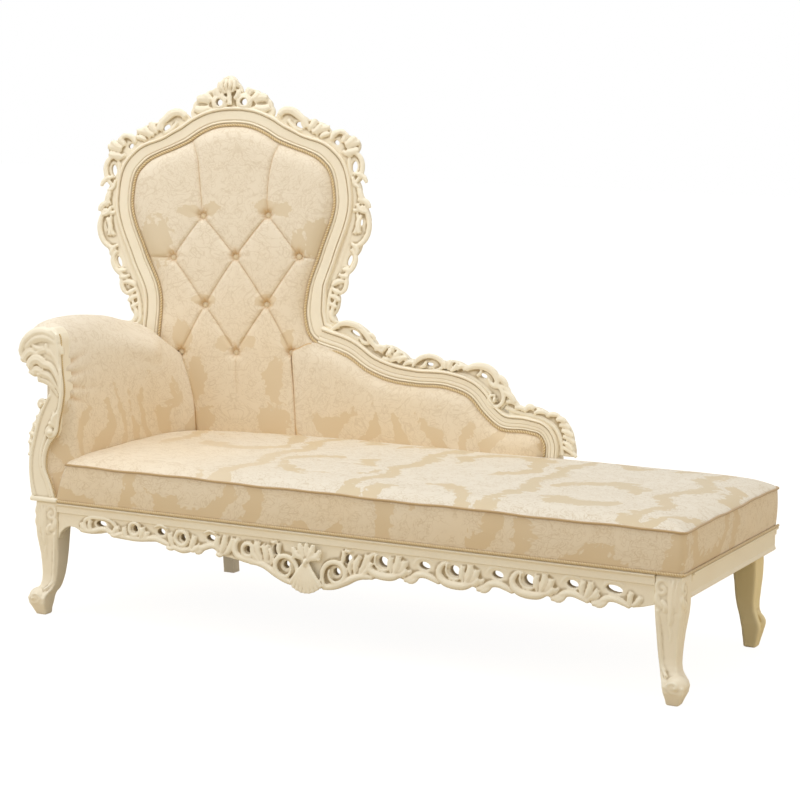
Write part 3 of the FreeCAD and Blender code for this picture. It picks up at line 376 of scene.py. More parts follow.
# %% Braid, welt and button cloths
def spun(name, light, dark, scale, rough):
    """A glossy thread, painted darker where the strands meet and round a button's rim: painted
    shade.
    """
    finish = Finish(name, Sheen_Weight=0.3)
    cloth = finish.node("ShaderNodeUVMap", {"uv_map": "cloth"})
    slanted = finish.node("ShaderNodeMapping", {}, {0: cloth, 2: (0.0, 0.0, 0.7), 3: scale})
    fibre = finish.noise(slanted, 1.0, 3.0)
    hollow = finish.stored("hollow")
    # The stored hollows are painted shade: the dips between strands and the rims of the buttons.
    tone = finish.mix(light, dark, (fibre.between(0.35, 0.7) * 0.5 + hollow.between(0.0, 0.7) * 0.7)
                      .math("MINIMUM", 1.0))
    finish.feed(Base_Color=tone, Roughness=rough + 0.15 * fibre,
                Normal=finish.bump(fibre, 0.35, 0.0006))
    return finish.material


gold_braid = spun("gold_braid", paint(238, 222, 182), paint(190, 154, 96), (1400.0, 300.0, 1.0),
    0.45)
welt_cloth = spun("welt_cloth", paint(196, 166, 120), paint(160, 128, 84), (900.0, 900.0, 1.0), 0.5)
button_satin = spun("button_satin", paint(238, 222, 188), paint(168, 126, 66), (500.0, 500.0, 1.0),
    0.38)
print("trimmings:", [m.name for m in (gold_braid, welt_cloth, button_satin)])

# %% [markdown]
# Helpers of the bench. A piece made from points gets its mesh, its cloth co-ordinates and its
# place; every finished piece then takes a finish and rides on the one body, and the part of the
# construction that it stands for is hidden.


# %% Bench helpers
def deselect():
    """Back to object mode, with nothing selected."""
    if bpy.context.object and bpy.context.object.mode != "OBJECT":
        bpy.ops.object.mode_set(mode="OBJECT")
    bpy.ops.object.select_all(action="DESELECT")


def pick(*pieces):
    """Selects these pieces only; the first is the active one."""
    deselect()
    for piece in pieces:
        piece.select_set(True)
    bpy.context.view_layer.objects.active = pieces[0]


def mesh_piece(name, points, faces, cloth=None, other=None):
    """A mesh from points in drawing millimetres. cloth gives each point its place on the cloth;
    other is (first face, co-ordinates) for faces cut from another length of it."""
    mesh = bpy.data.meshes.new(name)
    mesh.from_pydata(metres(points).tolist(), [], [tuple(int(i) for i in f) for f in faces])
    if cloth is not None:
        layer = mesh.uv_layers.new(name="cloth")
        corners = np.empty(len(mesh.loops), int)
        mesh.loops.foreach_get("vertex_index", corners)
        spots = np.asarray(cloth, float)[corners]
        if other is not None:
            starts = np.empty(len(mesh.polygons), int)
            mesh.polygons.foreach_get("loop_start", starts)
            late = slice(starts[other[0]], None)
            spots[late] = np.asarray(other[1], float)[corners[late]]
        layer.data.foreach_set("uv", (spots / 1000).astype(np.float32).ravel())
    mesh.update()
    piece = bpy.data.objects.new(name, mesh)
    bpy.context.scene.collection.objects.link(piece)
    pick(piece)
    bpy.ops.object.mode_set(mode="EDIT")
    bpy.ops.mesh.select_all(action="SELECT")
    bpy.ops.mesh.normals_make_consistent(inside=False)
    bpy.ops.object.mode_set(mode="OBJECT")
    bpy.ops.object.shade_smooth()
    return piece


def modify(piece, kind, **settings):
    """Add one modifier and apply it."""
    pick(piece)
    added = piece.modifiers.new(kind.lower(), kind)
    for name, value in settings.items():
        setattr(added, name, value)
    bpy.ops.object.modifier_apply(modifier=added.name)


WALL_SHARE, WALL_START, WALL_REACH = 0.5, 1.5, 7.0


def store_hollows(piece, rounds, reach, place=None, front=0.0):
    """How deep each point lies below its surroundings, in units of reach millimetres. With a place
    and a front level, the walls behind that level count as hollows too."""
    mesh = piece.data
    count = len(mesh.vertices)
    spots = np.empty(count * 3)
    mesh.vertices.foreach_get("co", spots)
    spots = spots.reshape(-1, 3)
    facing = np.empty(count * 3, np.float32)
    mesh.vertices.foreach_get("normal", facing)
    facing = facing.reshape(-1, 3)
    ends = np.empty(len(mesh.edges) * 2, int)
    mesh.edges.foreach_get("vertices", ends)
    a, b = ends.reshape(-1, 2).T
    degree = np.maximum(np.bincount(a, minlength=count) + np.bincount(b, minlength=count), 1)
    even = spots.copy()
    for _ in range(rounds):
        total = np.stack([np.bincount(a, even[b, k], count) + np.bincount(b, even[a, k], count)
                          for k in range(3)], axis=1)
        even = total / degree[:, None]
    depth = ((even - spots) * facing).sum(1) * 1000 / reach
    # Walls behind the front level count as hollows, so the glaze colour darkens them: painted shade
    # inside the holes.
    if place:
        foot, tip = place(np.array(((0.0, 0.0, 0.0), (0.0, 1.0, 0.0))))
        level = (spots * 1000 + SHIFT - foot) @ (tip - foot)
        behind = np.clip((level - front - WALL_START) / WALL_REACH, 0, 1)
        depth += WALL_SHARE * behind * (facing @ (tip - foot) < 0.5)
    layer = mesh.attributes.get("hollow") or mesh.attributes.new("hollow", "FLOAT", "POINT")
    layer.data.foreach_set("value", depth.astype(np.float32))


def settle(piece, finish, slot, *nodes):
    """The piece is done: it takes its finish and its place, and the pieces it stands for are
    hidden.
    """
    piece.data.materials.clear()
    piece.data.materials.append(finish)
    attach(piece, "root")
    if nodes:
        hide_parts(*nodes)
    print(piece.name, len(piece.data.vertices), "points")
    return piece


print("bench ready")

# %% [markdown]
# Curved members follow one drawn line. A few points, with a direction at each, are joined by a
# smooth curve, and lines beside it at any distance give the edges of a moulding.


# %% Drawn lines
def unit(v):
    """The same direction, one long."""
    v = np.asarray(v, float)
    return v / np.linalg.norm(v)


def mirror_way(way, p, q):
    """The heading that gives an even arc from p to q."""
    chord = unit(np.subtract(q, p))
    return 2 * np.dot(way, chord) * chord - way


def drawn(points, first=None, last=None, step=4.0):
    """Points and headings every few millimetres along a smooth line."""
    points = np.asarray(points, float)
    chords = [unit(q - p) for p, q in zip(points, points[1:])]
    spans = [np.linalg.norm(q - p) for p, q in zip(points, points[1:])]
    ways = [unit(c0 * s1 + c1 * s0) for c0, c1, s0, s1 in zip(chords, chords[1:], spans, spans[1:])]
    begin = unit(first) if first is not None else mirror_way(ways[0], points[0], points[1])
    end = unit(last) if last is not None else mirror_way(ways[-1], points[-2], points[-1])
    ways = [begin] + ways + [end]
    spots, leads = [], []
    for p, q, t, u, span in zip(points, points[1:], ways, ways[1:], spans):
        n = max(3, int(span / step))
        for k in range(n + (q is points[-1])):
            w = k / n
            h00, h10 = 2 * w**3 - 3 * w**2 + 1, w**3 - 2 * w**2 + w
            h01, h11 = -2 * w**3 + 3 * w**2, w**3 - w**2
            spots.append(h00 * p + h10 * span * t + h01 * q + h11 * span * u)
            d = (6 * w**2 - 6 * w) * (p - q) + (3 * w**2 - 4 * w + 1) * span * t
            leads.append(unit(d + (3 * w**2 - 2 * w) * span * u))
    last_spot = points[-1]
    if np.linalg.norm(spots[-1] - last_spot) > 0.01:
        spots.append(last_spot)
        leads.append(ways[-1])
    return np.array(spots), np.array(leads)


def run_of(line):
    """How far along the line each of its points is."""
    return np.concatenate(([0], np.cumsum(np.linalg.norm(np.diff(line, axis=0), axis=1))))


def beside(line, out):
    """The line moved to the left of its heading, by one distance or by one for each point."""
    spots, leads = line
    return spots + np.reshape(out, (-1, 1)) * np.stack((-leads[:, 1], leads[:, 0]), axis=1)


CREST_HALF = ((0.0, 806.0), (52.0, 800.0), (90.0, 784.0), (122.0, 764.0), (162.0, 747.0),
    (200.0, 733.0), (232.0, 717.0), (253.0, 698.0))
STILE_HALF = ((253.0, 698.0), (278.0, 618.0), (240.0, 473.0), (203.0, 378.0), (209.0, 240.0))
STILE_HOOK = ((253.0, 698.0), (278.0, 618.0), (240.0, 473.0), (206.0, 372.0), (201.0, 300.0),
    (216.0, 257.0), (242.0, 238.0))
WING_LINE = ((418.0, 630.0), (507.0, 606.0), (565.0, 573.0), (622.0, 555.0), (700.0, 548.0),
    (790.0, 547.0), (851.0, 528.0), (893.0, 487.0), (931.0, 459.0), (1010.0, 454.0),
    (1044.0, 446.0), (1058.0, 424.0), (1058.0, 392.0))
JOINT_WAY = (100.0, -100.0)
crest_line = drawn([(-a, b) for a, b in CREST_HALF[:0:-1]] + list(CREST_HALF), (100.0, 100.0),
    JOINT_WAY)
right_line = drawn(STILE_HOOK, JOINT_WAY, (0.78, -0.63))
left_line = drawn([(-a, b) for a, b in STILE_HALF[::-1]], (6.0, 138.0), (100.0, 100.0))
wing_line = drawn(WING_LINE, (89.0, -30.0), (0.0, -1.0))
print("crest line", len(crest_line[0]), "points, stile", len(right_line[0]), "points")

# %% [markdown]
# The cartouche frame and the wing rail are mouldings: one section cut along the whole member. A
# section swept along the drawn line keeps square to it, as the cutter does. The section is a bead
# next to the cloth, a fine line, a broad flat, a sharp quirk that catches the glaze and takes
# painted shade, and a round outer bead. The third number of each point is how much glaze and
# painted shade is left there. The member grows wider and narrower along its way, so each point of
# the line has its own share of the width.

# %% Swept mouldings
# The third number darkens the paint: glaze and painted shade, most in the quirk, the fine line and
# by the cloth.
BACK_SECTION = ((0.3, 20.0, 0.0), (0.3, -3.0, 0.8), (1.2, -6.0, 0.0), (3.2, -7.6, -0.3),
    (5.4, -6.8, 0.1), (6.5, -5.0, 0.8), (8.1, -5.0, 0.8), (9.2, -6.4, 0.1), (11.0, -6.8, -0.1),
    (20.0, -5.8, 0.0), (29.4, -7.2, -0.1), (30.6, -7.2, 0.2), (31.4, -4.8, 0.95),
    (33.2, -4.8, 0.95), (34.2, -8.4, 0.3), (35.4, -10.6, -0.3), (38.0, -11.4, -0.6),
    (40.8, -9.8, -0.2), (42.4, -6.2, 0.0), (43.0, -2.0, 0.4), (43.0, 22.0, 0.0), (36.0, 24.0, 0.0),
    (6.0, 24.0, 0.0))
WING_SECTION = [(t * 36.0 / 43.0, y if y < 12 else y + 7.6, g) for t, y, g in BACK_SECTION]
WING_SECTION[9:10] = [(14.0, -6.4, 0.0), (14.8, -5.2, 0.7), (15.6, -5.2, 0.7), (16.4, -6.8, 0.0)]


def sweep(name, line, section, place, share):
    """A section of (distance, depth, glaze and painted shade) points carried along a line on a
    plane.
    """
    rings = [np.stack((b[:, 0], np.full(len(b), y), b[:, 1]), axis=1)
             for b, y in ((beside(line, t * share), y) for t, y, _ in section)]
    wide, long = len(section), len(line[0])
    points = place(np.concatenate(rings))
    faces = [(i * long + k, i * long + k + 1, ((i + 1) % wide) * long + k + 1,
        ((i + 1) % wide) * long + k) for i in range(wide) for k in range(long - 1)]
    faces.append([i * long for i in range(wide)])
    faces.append([i * long + long - 1 for i in range(wide)])
    piece = mesh_piece(name, points, faces)
    store(piece, "hollow", np.repeat([g for _, _, g in section], long))
    pick(piece)
    bpy.ops.object.shade_smooth_by_angle(angle=math.radians(50))
    return piece


def store(piece, name, values):
    """One number for each point of the piece, kept under a name that a finish can read."""
    layer = piece.data.attributes.new(name, "FLOAT", "POINT")
    layer.data.foreach_set("value", np.asarray(values, np.float32))


across = np.abs(crest_line[0][:, 0])
crest_share = 1.0 - 0.17 * np.exp(-((across - 186) / 34) ** 2)
hook_share = np.interp(right_line[0][:, 1], (300, 345, 400), (1.26, 1.2, 1.0))
for name, node, line, share in (
        ("crest_moulding", "crest_rail", crest_line, crest_share),
        ("left_stile_moulding", "back_left_stile", left_line, np.ones(len(left_line[0]))),
        ("right_stile_moulding", "back_right_stile", right_line, hook_share)):
    settle(sweep(name, line, BACK_SECTION, on_back, share), cream, "painted_hardwood", node)
wing_share = np.interp(wing_line[0][:, 0],
    (418, 507, 565, 620, 700, 764, 826, 870, 893, 931, 1000, 1046, 1058),
    (1.3, 1.25, 1.2, 1.16, 1.06, 1.05, 1.12, 1.14, 1.02, 1.05, 0.95, 0.9, 0.88))
settle(sweep("wing_moulding", wing_line, WING_SECTION, on_wing, wing_share), cream,
    "painted_hardwood", "wing_rail")

# %% [markdown]
# Below the mouldings the stiles run down to the seat rails as square posts. They are hidden by the
# padding in front and seen from behind, so each is a box with its edges eased by a bevel.


# %% Posts under the mouldings
def eased_box(name, low, high, place, ease=2.0):
    """A box between two corners with its edges eased."""
    deselect()
    middle = [(a + b) / 2000 for a, b in zip(low, high)]
    sizes = [(b - a) / 1000 for a, b in zip(low, high)]
    bpy.ops.mesh.primitive_cube_add(size=1.0, location=middle)
    piece = bpy.context.object
    piece.name = piece.data.name = name
    piece.scale = sizes
    bpy.ops.object.transform_apply(location=True, rotation=True, scale=True)
    bpy.ops.object.mode_set(mode="EDIT")
    bpy.ops.mesh.select_all(action="SELECT")
    bpy.ops.mesh.bevel(offset=ease / 1000, segments=2, affect="EDGES")
    bpy.ops.object.mode_set(mode="OBJECT")
    for v in piece.data.vertices:
        v.co = metres(place(np.array([v.co]) * 1000))[0]
    bpy.ops.object.shade_smooth_by_angle(angle=math.radians(40))
    return piece


posts = [eased_box("left_back_post", (-248, 0, -150), (-206, 24, 262), on_back),
         eased_box("right_back_post", (206, 0, -98), (248, 24, 262), on_back),
         eased_box("wing_end_foot", (1056, 0, 226), (1092, 32, 393), on_wing)]
for post in posts:
    settle(post, cream, "painted_hardwood")
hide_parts("wing_end_post")

# %% [markdown]
# Carving. A carver first saws the pierced board, then models scrolls, leaves and beads on it. Here
# the sawn board is a flat curve with holes, given thickness, and each scroll or leaf is a stroke:
# a curve whose round section swells and tapers along its length. All are joined and remeshed into
# one skin, and a little smoothing leaves the soft edges of paint over wood.


# %% Strokes of the gouge
def stroke(points, widths, depth=-3.0):
    """One stroke through (across, up) points; widths are spread evenly along it."""
    points = np.asarray(points, float)
    at = np.linspace(0, 1, len(points))
    size = np.interp(at, np.linspace(0, 1, len(widths)), widths)
    deep = np.atleast_1d(depth)
    level = np.interp(at, np.linspace(0, 1, len(deep)), deep)
    return np.column_stack((points[:, 0], level, points[:, 1], size))


def bow(p, q, bend, count=7):
    """Points from p to q, bowed to the left by bend times the length."""
    p, q = np.asarray(p, float), np.asarray(q, float)
    w = np.linspace(0, 1, count)[:, None]
    over = np.array((-(q - p)[1], (q - p)[0]))
    return p + (q - p) * w + over * bend * 4 * w * (1 - w)


RIB_CROWN = 1.5
LEAF_FORM = (0.5, 0.85, 1.0, 0.95, 0.62)


def ribs(path, width, shape, count=3, depth=-3.0):
    """Strokes side by side along one path: a fluted leaf, or a rim with a groove in it."""
    path = np.asarray(path, float)
    ways = np.gradient(path, axis=0)
    ways /= np.linalg.norm(ways, axis=1)[:, None]
    aside = np.column_stack((-ways[:, 1], ways[:, 0]))
    half = np.interp(np.linspace(0, 1, len(path)), np.linspace(0, 1, len(shape)), shape) * width / 2
    rib = half * 1.35 / count
    found = []
    for k in range(count):
        off = 2 * k / (count - 1) - 1
        spots = path + aside * (off * (half - rib))[:, None]
        level = np.full(len(path), depth - RIB_CROWN * (1 - off**2))
        found.append(np.column_stack((spots[:, 0], level, spots[:, 1], rib)))
    return found


def petals(rows, depth=-3.0):
    """Fluted leaves from (root, tip, width, bend) rows, one a little over the next."""
    found = []
    for k, (p, q, width, bend) in enumerate(rows):
        found += ribs(bow(p, q, bend, 6), width, LEAF_FORM, 3, depth - 1.4 * (k % 2))
    return found


def rim(points, width, depth=-3.0, shape=(0.6, 1.0, 1.0, 0.6), count=2):
    """A C scroll of any form: a grooved band through the points."""
    return ribs(drawn(points, step=9.0)[0], width, shape, count, depth)


def ring(centre, radius, width, depth=-3.0):
    """A turned ring round an eye."""
    turns = np.linspace(0, 2 * math.pi * 1.03, 15)
    points = np.column_stack((centre[0] + radius * np.cos(turns),
                              centre[1] + radius * np.sin(turns)))
    return stroke(points, (width, width), depth)


def bead(centre, radius, depth=-4.0):
    """A round boss, as a very short stroke."""
    return stroke((np.add(centre, (-0.4 * radius, 0)), centre, np.add(centre, (0.4 * radius, 0))),
                  (0.75 * radius, radius, 0.75 * radius), depth)


def flipped(strokes):
    """The strokes on the other side of the middle line."""
    return [s * (-1, 1, 1, 1) for s in strokes]


def stroke_mesh(strokes, place):
    """All strokes as tubes of smoothly changing width."""
    curve = bpy.data.curves.new("strokes", "CURVE")
    curve.dimensions = "3D"
    curve.bevel_depth = 0.001
    curve.bevel_resolution = 3
    curve.use_fill_caps = True
    for s in strokes:
        path = curve.splines.new("NURBS")
        path.points.add(len(s) - 1)
        spots = metres(place(s[:, :3]))
        for point, spot, size in zip(path.points, spots, s[:, 3]):
            point.co = (*spot, 1.0)
            point.radius = size
        path.use_endpoint_u = True
        path.order_u = 3
        path.resolution_u = 4
    tube = bpy.data.objects.new("strokes", curve)
    bpy.context.scene.collection.objects.link(tube)
    pick(tube)
    bpy.ops.object.convert(target="MESH")
    return bpy.context.object


OVAL_POINTS = 14


def oval(x, z, half_x, half_z, tilt=0.0):
    """A leaf-like hole in a board."""
    tilt = math.radians(-tilt)
    turns = [2 * math.pi * k / OVAL_POINTS for k in range(OVAL_POINTS)]
    spots = [(half_x * math.cos(a), half_z * math.sin(a)) for a in turns]
    return [(x + a * math.cos(tilt) - b * math.sin(tilt),
        z + a * math.sin(tilt) + b * math.cos(tilt)) for a, b in spots]


def sawn_board(outline, holes, front, back, place):
    """A board with a sawn outline and holes, as a filled flat curve with thickness."""
    curve = bpy.data.curves.new("board", "CURVE")
    curve.dimensions = "2D"
    curve.fill_mode = "BOTH"
    curve.extrude = (back - front) / 2
    for loop in [outline] + holes:
        path = curve.splines.new("POLY")
        path.points.add(len(loop) - 1)
        for point, (a, b) in zip(path.points, loop):
            point.co = (a, b, 0.0, 1.0)
        path.use_cyclic_u = True
    board = bpy.data.objects.new("board", curve)
    bpy.context.scene.collection.objects.link(board)
    pick(board)
    bpy.ops.object.convert(target="MESH")
    board = bpy.context.object
    spots = np.array([v.co for v in board.data.vertices])
    spots = np.column_stack((spots[:, 0], (front + back) / 2 - spots[:, 2], spots[:, 1]))
    board.data.vertices.foreach_set("co", metres(place(spots)).astype(np.float32).ravel())
    return board


HOLLOW_ROUNDS = 12


def carve(name, strokes, place, nodes, board=None, voxel=2.1, extra=(), hollow_reach=0.9,
        finish=cream):
    """Joins boards and strokes, remeshes them into one skin and finishes it."""
    parts = [stroke_mesh(strokes, place)] + list(extra)
    if board:
        parts.append(sawn_board(*board, place))
    pick(*parts)
    bpy.ops.object.join()
    piece = bpy.context.object
    piece.name = piece.data.name = name
    modify(piece, "REMESH", mode="VOXEL", voxel_size=voxel / 1000, use_smooth_shade=True)
    modify(piece, "SMOOTH", factor=0.5, iterations=2)
    bpy.ops.object.shade_smooth()
    store_hollows(piece, HOLLOW_ROUNDS, hollow_reach, place if board else None,
        board[2] if board else 0.0)
    return settle(piece, finish, "painted_hardwood", *nodes)


print("gouge ready")

# %% [markdown]
# The foliage round the cartouche. Its right half is drawn and the left half is its mirror: an
# egg-shaped finial over two eyes, a shoulder scroll, a rosette at the corner, and two long loops
# down the side that are tied by small knots.

# %% Crest and side foliage
def dome(x, z, half_x, half_z, half_y, y, place):
    """A round boss as a mesh, to be joined to a carving."""
    deselect()
    bpy.ops.mesh.primitive_uv_sphere_add(segments=28, ring_count=16, radius=1.0)
    boss = bpy.context.object
    spots = np.array([v.co for v in boss.data.vertices]) * (half_x, half_y, half_z) + (x, y, z)
    boss.data.vertices.foreach_set("co", metres(place(spots)).astype(np.float32).ravel())
    return boss


finial = rim(((-4, 852), (-5, 872), (-7, 896), (-6, 914)), 13, -9, (1.0, 0.9, 0.8, 0.5))
finial += petals((((-12, 868), (-38, 897), 17, 0.22), ((-16, 862), (-24, 884), 13, 0.2),
    ((6, 868), (18, 892), 15, -0.2), ((-14, 884), (-32, 913), 12, 0.3)), -8)
finial += [stroke(drawn(points, step=7)[0], (3.2, 4.4, 4.6, 3.0), (-6, -12, -13.5, -9))
    for points in (((-7, 926), (-22, 914), (-25, 896), (-16, 884)),
        ((-7, 926), (7, 914), (10, 898), (3, 886)), ((-9, 922), (-14, 906), (-12, 888)),
        ((-5, 922), (-2, 908), (-5, 890)))]
crest_half = [ring((33, 860), 16.5, 6.4, -4), ring((33, 860), 12.0, 2.6, -10)]
crest_half += petals((((44, 872), (48, 896), 19, 0.1), ((54, 868), (72, 884), 20, -0.2),
    ((60, 860), (95, 868), 24, 0.2), ((62, 848), (101, 846), 20, -0.15),
    ((50, 842), (84, 836), 13, 0.1)))
crest_half += rim(((6, 848), (50, 843), (92, 834), (112, 824)), 10, 2, (1.0, 1.0, 1.0, 0.7))
shoulder_half = rim(((118, 818), (150, 804), (182, 786), (206, 776), (232, 766), (262, 752)), 10, 2,
    (0.7, 1.0, 1.0, 0.8))
shoulder_half += rim(((128, 824), (140, 836), (160, 836), (180, 822), (196, 806), (201, 792)), 21,
    -5, (0.7, 1.0, 1.0, 0.8, 0.6), 3)
shoulder_half += rim(((150, 812), (158, 802), (170, 790), (186, 784)), 9, -3)
shoulder_half += petals((((132, 818), (130, 838), 13, 0.1), ((196, 790), (196, 820), 16, 0.15),
    ((204, 786), (224, 813), 18, -0.1), ((214, 780), (240, 800), 16, -0.15),
    ((224, 774), (262, 790), 18, 0.15), ((236, 766), (262, 774), 13, 0.1)))
corner_half = rim(((258, 756), (276, 740), (296, 720), (310, 692), (318, 660)), 10, 2,
    (0.8, 1.0, 1.0, 0.7))
corner_half += petals((((266, 758), (288, 780), 17, 0.2), ((276, 772), (306, 770), 15, 0.3),
    ((296, 752), (312, 772), 17, 0.1), ((302, 746), (330, 766), 19, -0.1),
    ((306, 738), (342, 752), 20, 0.1), ((306, 728), (338, 734), 18, -0.1),
    ((296, 730), (322, 720), 13, -0.1), ((326, 672), (360, 648), 14, 0.2),
    ((322, 664), (344, 636), 12, -0.2)), -4)
corner_half += rim(((318, 724), (334, 722), (346, 706), (348, 684), (340, 662), (328, 648)), 13, -4,
    (0.7, 1.0, 1.0, 0.6))
corner_half += rim(((314, 716), (312, 692), (318, 662)), 8, -2)
side_half = rim(((320, 656), (324, 620), (326, 590), (322, 560), (312, 520), (298, 480), (284, 440),
    (270, 400), (262, 360)), 11, 1, (0.8, 1.0, 1.0, 0.8))
side_half += rim(((336, 640), (344, 616), (346, 596)), 15, -3)
side_half += petals((((336, 606), (367, 584), 16, 0.2), ((334, 596), (360, 574), 13, -0.2),
    ((322, 580), (350, 590), 12, -0.2), ((346, 566), (340, 520), 15, -0.15),
    ((334, 570), (326, 520), 13, 0.15), ((318, 494), (334, 468), 13, 0.2),
    ((296, 428), (318, 424), 13, 0.1), ((284, 416), (312, 412), 12, -0.1),
    ((268, 388), (299, 398), 15, 0.15), ((270, 380), (288, 370), 14, -0.1),
    ((262, 362), (288, 348), 14, 0.1), ((262, 344), (280, 333), 12, -0.1)), -4)
side_half += rim(((350, 588), (362, 566), (366, 536), (356, 506), (338, 490), (322, 488)), 14, -4,
    (0.7, 1.0, 1.0, 0.7), 3)
side_half += rim(((318, 480), (330, 462), (326, 440), (312, 422), (300, 414)), 13, -4)
side_half += rim(((306, 414), (306, 396), (300, 376), (286, 366)), 12, -4)
side_half += rim(
    ((268, 386), (260, 362), (257, 340), (255, 318), (255, 302), (263, 291), (282, 287)), 10, -3)
side_half += rim(((276, 350), (268, 325), (266, 308), (272, 299), (288, 294)), 11, -5)


def scalloped(outer, inner, lobe=0.16):
    """The outline of a sawn board, scalloped outside."""
    loop = []
    for p, q in zip(outer, outer[1:]):
        loop += [tuple(v) for v in bow(p, q, lobe, 6)[:-1]]
    return loop + [outer[-1]] + list(inner)


half_lobes = ((112, 826), (108, 848), (98, 866), (76, 882), (50, 892), (30, 880), (0, 920))
crest_board = scalloped([(-a, b) for a, b in half_lobes] + list(half_lobes[-2::-1]),
    ((96, 806), (0, 824), (-96, 806)))
crest_eyes = [oval(sign * 33, 860, 10.5, 9.5) for sign in (-1, 1)]
carve("crest_foliage", finial + crest_half + flipped(crest_half), on_back, ["crest_carving"],
      (crest_board, crest_eyes, -2, 13), extra=[dome(-7, 904, 25, 25, 14, 1, on_back)])
SIDES = (
    ("shoulder", shoulder_half,
        ((116, 822), (134, 836), (160, 838), (182, 824), (204, 812), (226, 808), (262, 786),
         (268, 762)), ((250, 730), (190, 756), (126, 800)), ((180, 798, 11, 8, 28),)),
    ("corner", corner_half,
        ((260, 762), (280, 776), (308, 770), (332, 760), (342, 744), (334, 726), (346, 706),
         (348, 680), (340, 652)), ((300, 644), (290, 690), (262, 728)),
        ((279, 752, 8, 6, 40), (326, 690, 7.5, 15, 6))),
    ("side", side_half,
        ((338, 652), (344, 620), (360, 584), (366, 536), (346, 496), (330, 462), (310, 426),
         (300, 396), (284, 366), (286, 344), (272, 312), (279, 296), (292, 288)),
        ((262, 266), (240, 310), (240, 380), (272, 476), (300, 560), (304, 648)),
        ((343, 546, 4.5, 13, 8), (313, 452, 6, 15, 20), (290, 398, 4.5, 9, 14))))
for place_name, half, lobes, inner, holes in SIDES:
    for sign, hand in ((1, "right"), (-1, "left")):
        board = [(sign * a, b) for a, b in scalloped(lobes, inner, 0.1)]
        eyes = [[(sign * a, b) for a, b in oval(*hole)] for hole in holes]
        carve(f"{hand}_{place_name}_foliage", half if sign > 0 else flipped(half), on_back,
              [f"{hand}_{place_name}_carving"], (board, eyes, -1, 13))

# %% [markdown]
# The wing's foliage is a chain of long scrolls over the moulding: a C scroll with a leaf tip, a
# small rosette, a bigger C scroll whose end rolls into a volute over the dip, then a fringe of
# leaves round the low end.

# %% Wing foliage
upper_strokes = rim(((462, 670), (484, 684), (510, 687), (536, 680), (556, 665), (570, 648),
    (584, 634), (606, 622)), 17, -5, (0.5, 0.9, 1.0, 1.0, 0.8, 0.7))
upper_strokes += petals((((456, 660), (480, 676), 12, 0.2), ((556, 660), (584, 652), 11, 0.25),
    ((540, 652), (566, 640), 12, -0.2), ((584, 622), (606, 634), 14, 0.2),
    ((600, 618), (618, 637), 15, 0.1), ((616, 612), (636, 636), 17, -0.05),
    ((624, 606), (652, 624), 17, -0.1), ((626, 598), (656, 608), 15, 0.1),
    ((604, 606), (628, 604), 13, -0.1), ((650, 596), (676, 611), 14, 0.2),
    ((664, 590), (694, 598), 13, 0.2)), -4)
upper_strokes += rim(((470, 650), (520, 636), (566, 614), (620, 592), (690, 580), (724, 578)), 11,
    1, (0.7, 1.0, 1.0, 0.8))
upper_strokes += [bead((628, 619), 9, -9)]
middle_strokes = rim(((690, 588), (700, 604), (718, 616), (744, 620), (766, 612), (775, 598),
    (764, 588), (746, 586)), 13, -5, (0.5, 1.0, 1.0, 1.0, 0.7, 0.5))
middle_strokes += petals((((712, 590), (728, 606), 12, -0.2), ((782, 590), (784, 612), 13, 0.1),
    ((790, 588), (799, 614), 15, 0.05), ((796, 586), (815, 606), 13, -0.1),
    ((812, 590), (840, 600), 14, 0.2), ((832, 590), (852, 600), 12, 0.2),
    ((912, 584), (951, 560), 17, 0.15), ((900, 578), (930, 556), 13, -0.2),
    ((926, 562), (962, 539), 15, 0.12), ((936, 548), (975, 521), 17, 0.12),
    ((880, 596), (868, 580), 10, 0.2)), -5)
middle_strokes += rim(
    ((838, 592), (856, 602), (882, 605), (906, 598), (920, 584), (924, 568), (912, 556)), 19, -6,
    (0.5, 0.9, 1.0, 1.0, 0.8, 0.5), 3)
middle_strokes += rim(((924, 562), (940, 544), (942, 524), (930, 509), (912, 508), (902, 520),
    (908, 534), (922, 534)), 11, -7, (1.0, 1.0, 0.9, 0.8, 0.6))
middle_strokes += [bead((919, 523), 8, -8)]
middle_strokes += rim(((700, 578), (780, 578), (850, 572), (890, 548), (920, 520)), 11, 1,
    (0.8, 1.0, 1.0, 0.8))
end_strokes = petals((((948, 520), (984, 512), 15, 0.2), ((972, 508), (1004, 503), 13, 0.15),
    ((1002, 504), (1024, 509), 17, 0.35), ((1024, 498), (1060, 501), 13, 0.15),
    ((1056, 494), (1092, 497), 13, 0.15), ((1084, 486), (1110, 484), 15, 0.2),
    ((1092, 474), (1122, 468), 15, 0.15), ((1098, 462), (1130, 450), 15, 0.1),
    ((1102, 448), (1134, 433), 15, 0.1), ((1104, 434), (1130, 416), 13, 0.1),
    ((1104, 420), (1140, 399), 14, 0.1)), -3)
end_strokes += rim(((944, 506), (1000, 494), (1052, 484), (1084, 462), (1098, 430), (1100, 400)),
    11, 1, (0.8, 1.0, 1.0, 0.8))
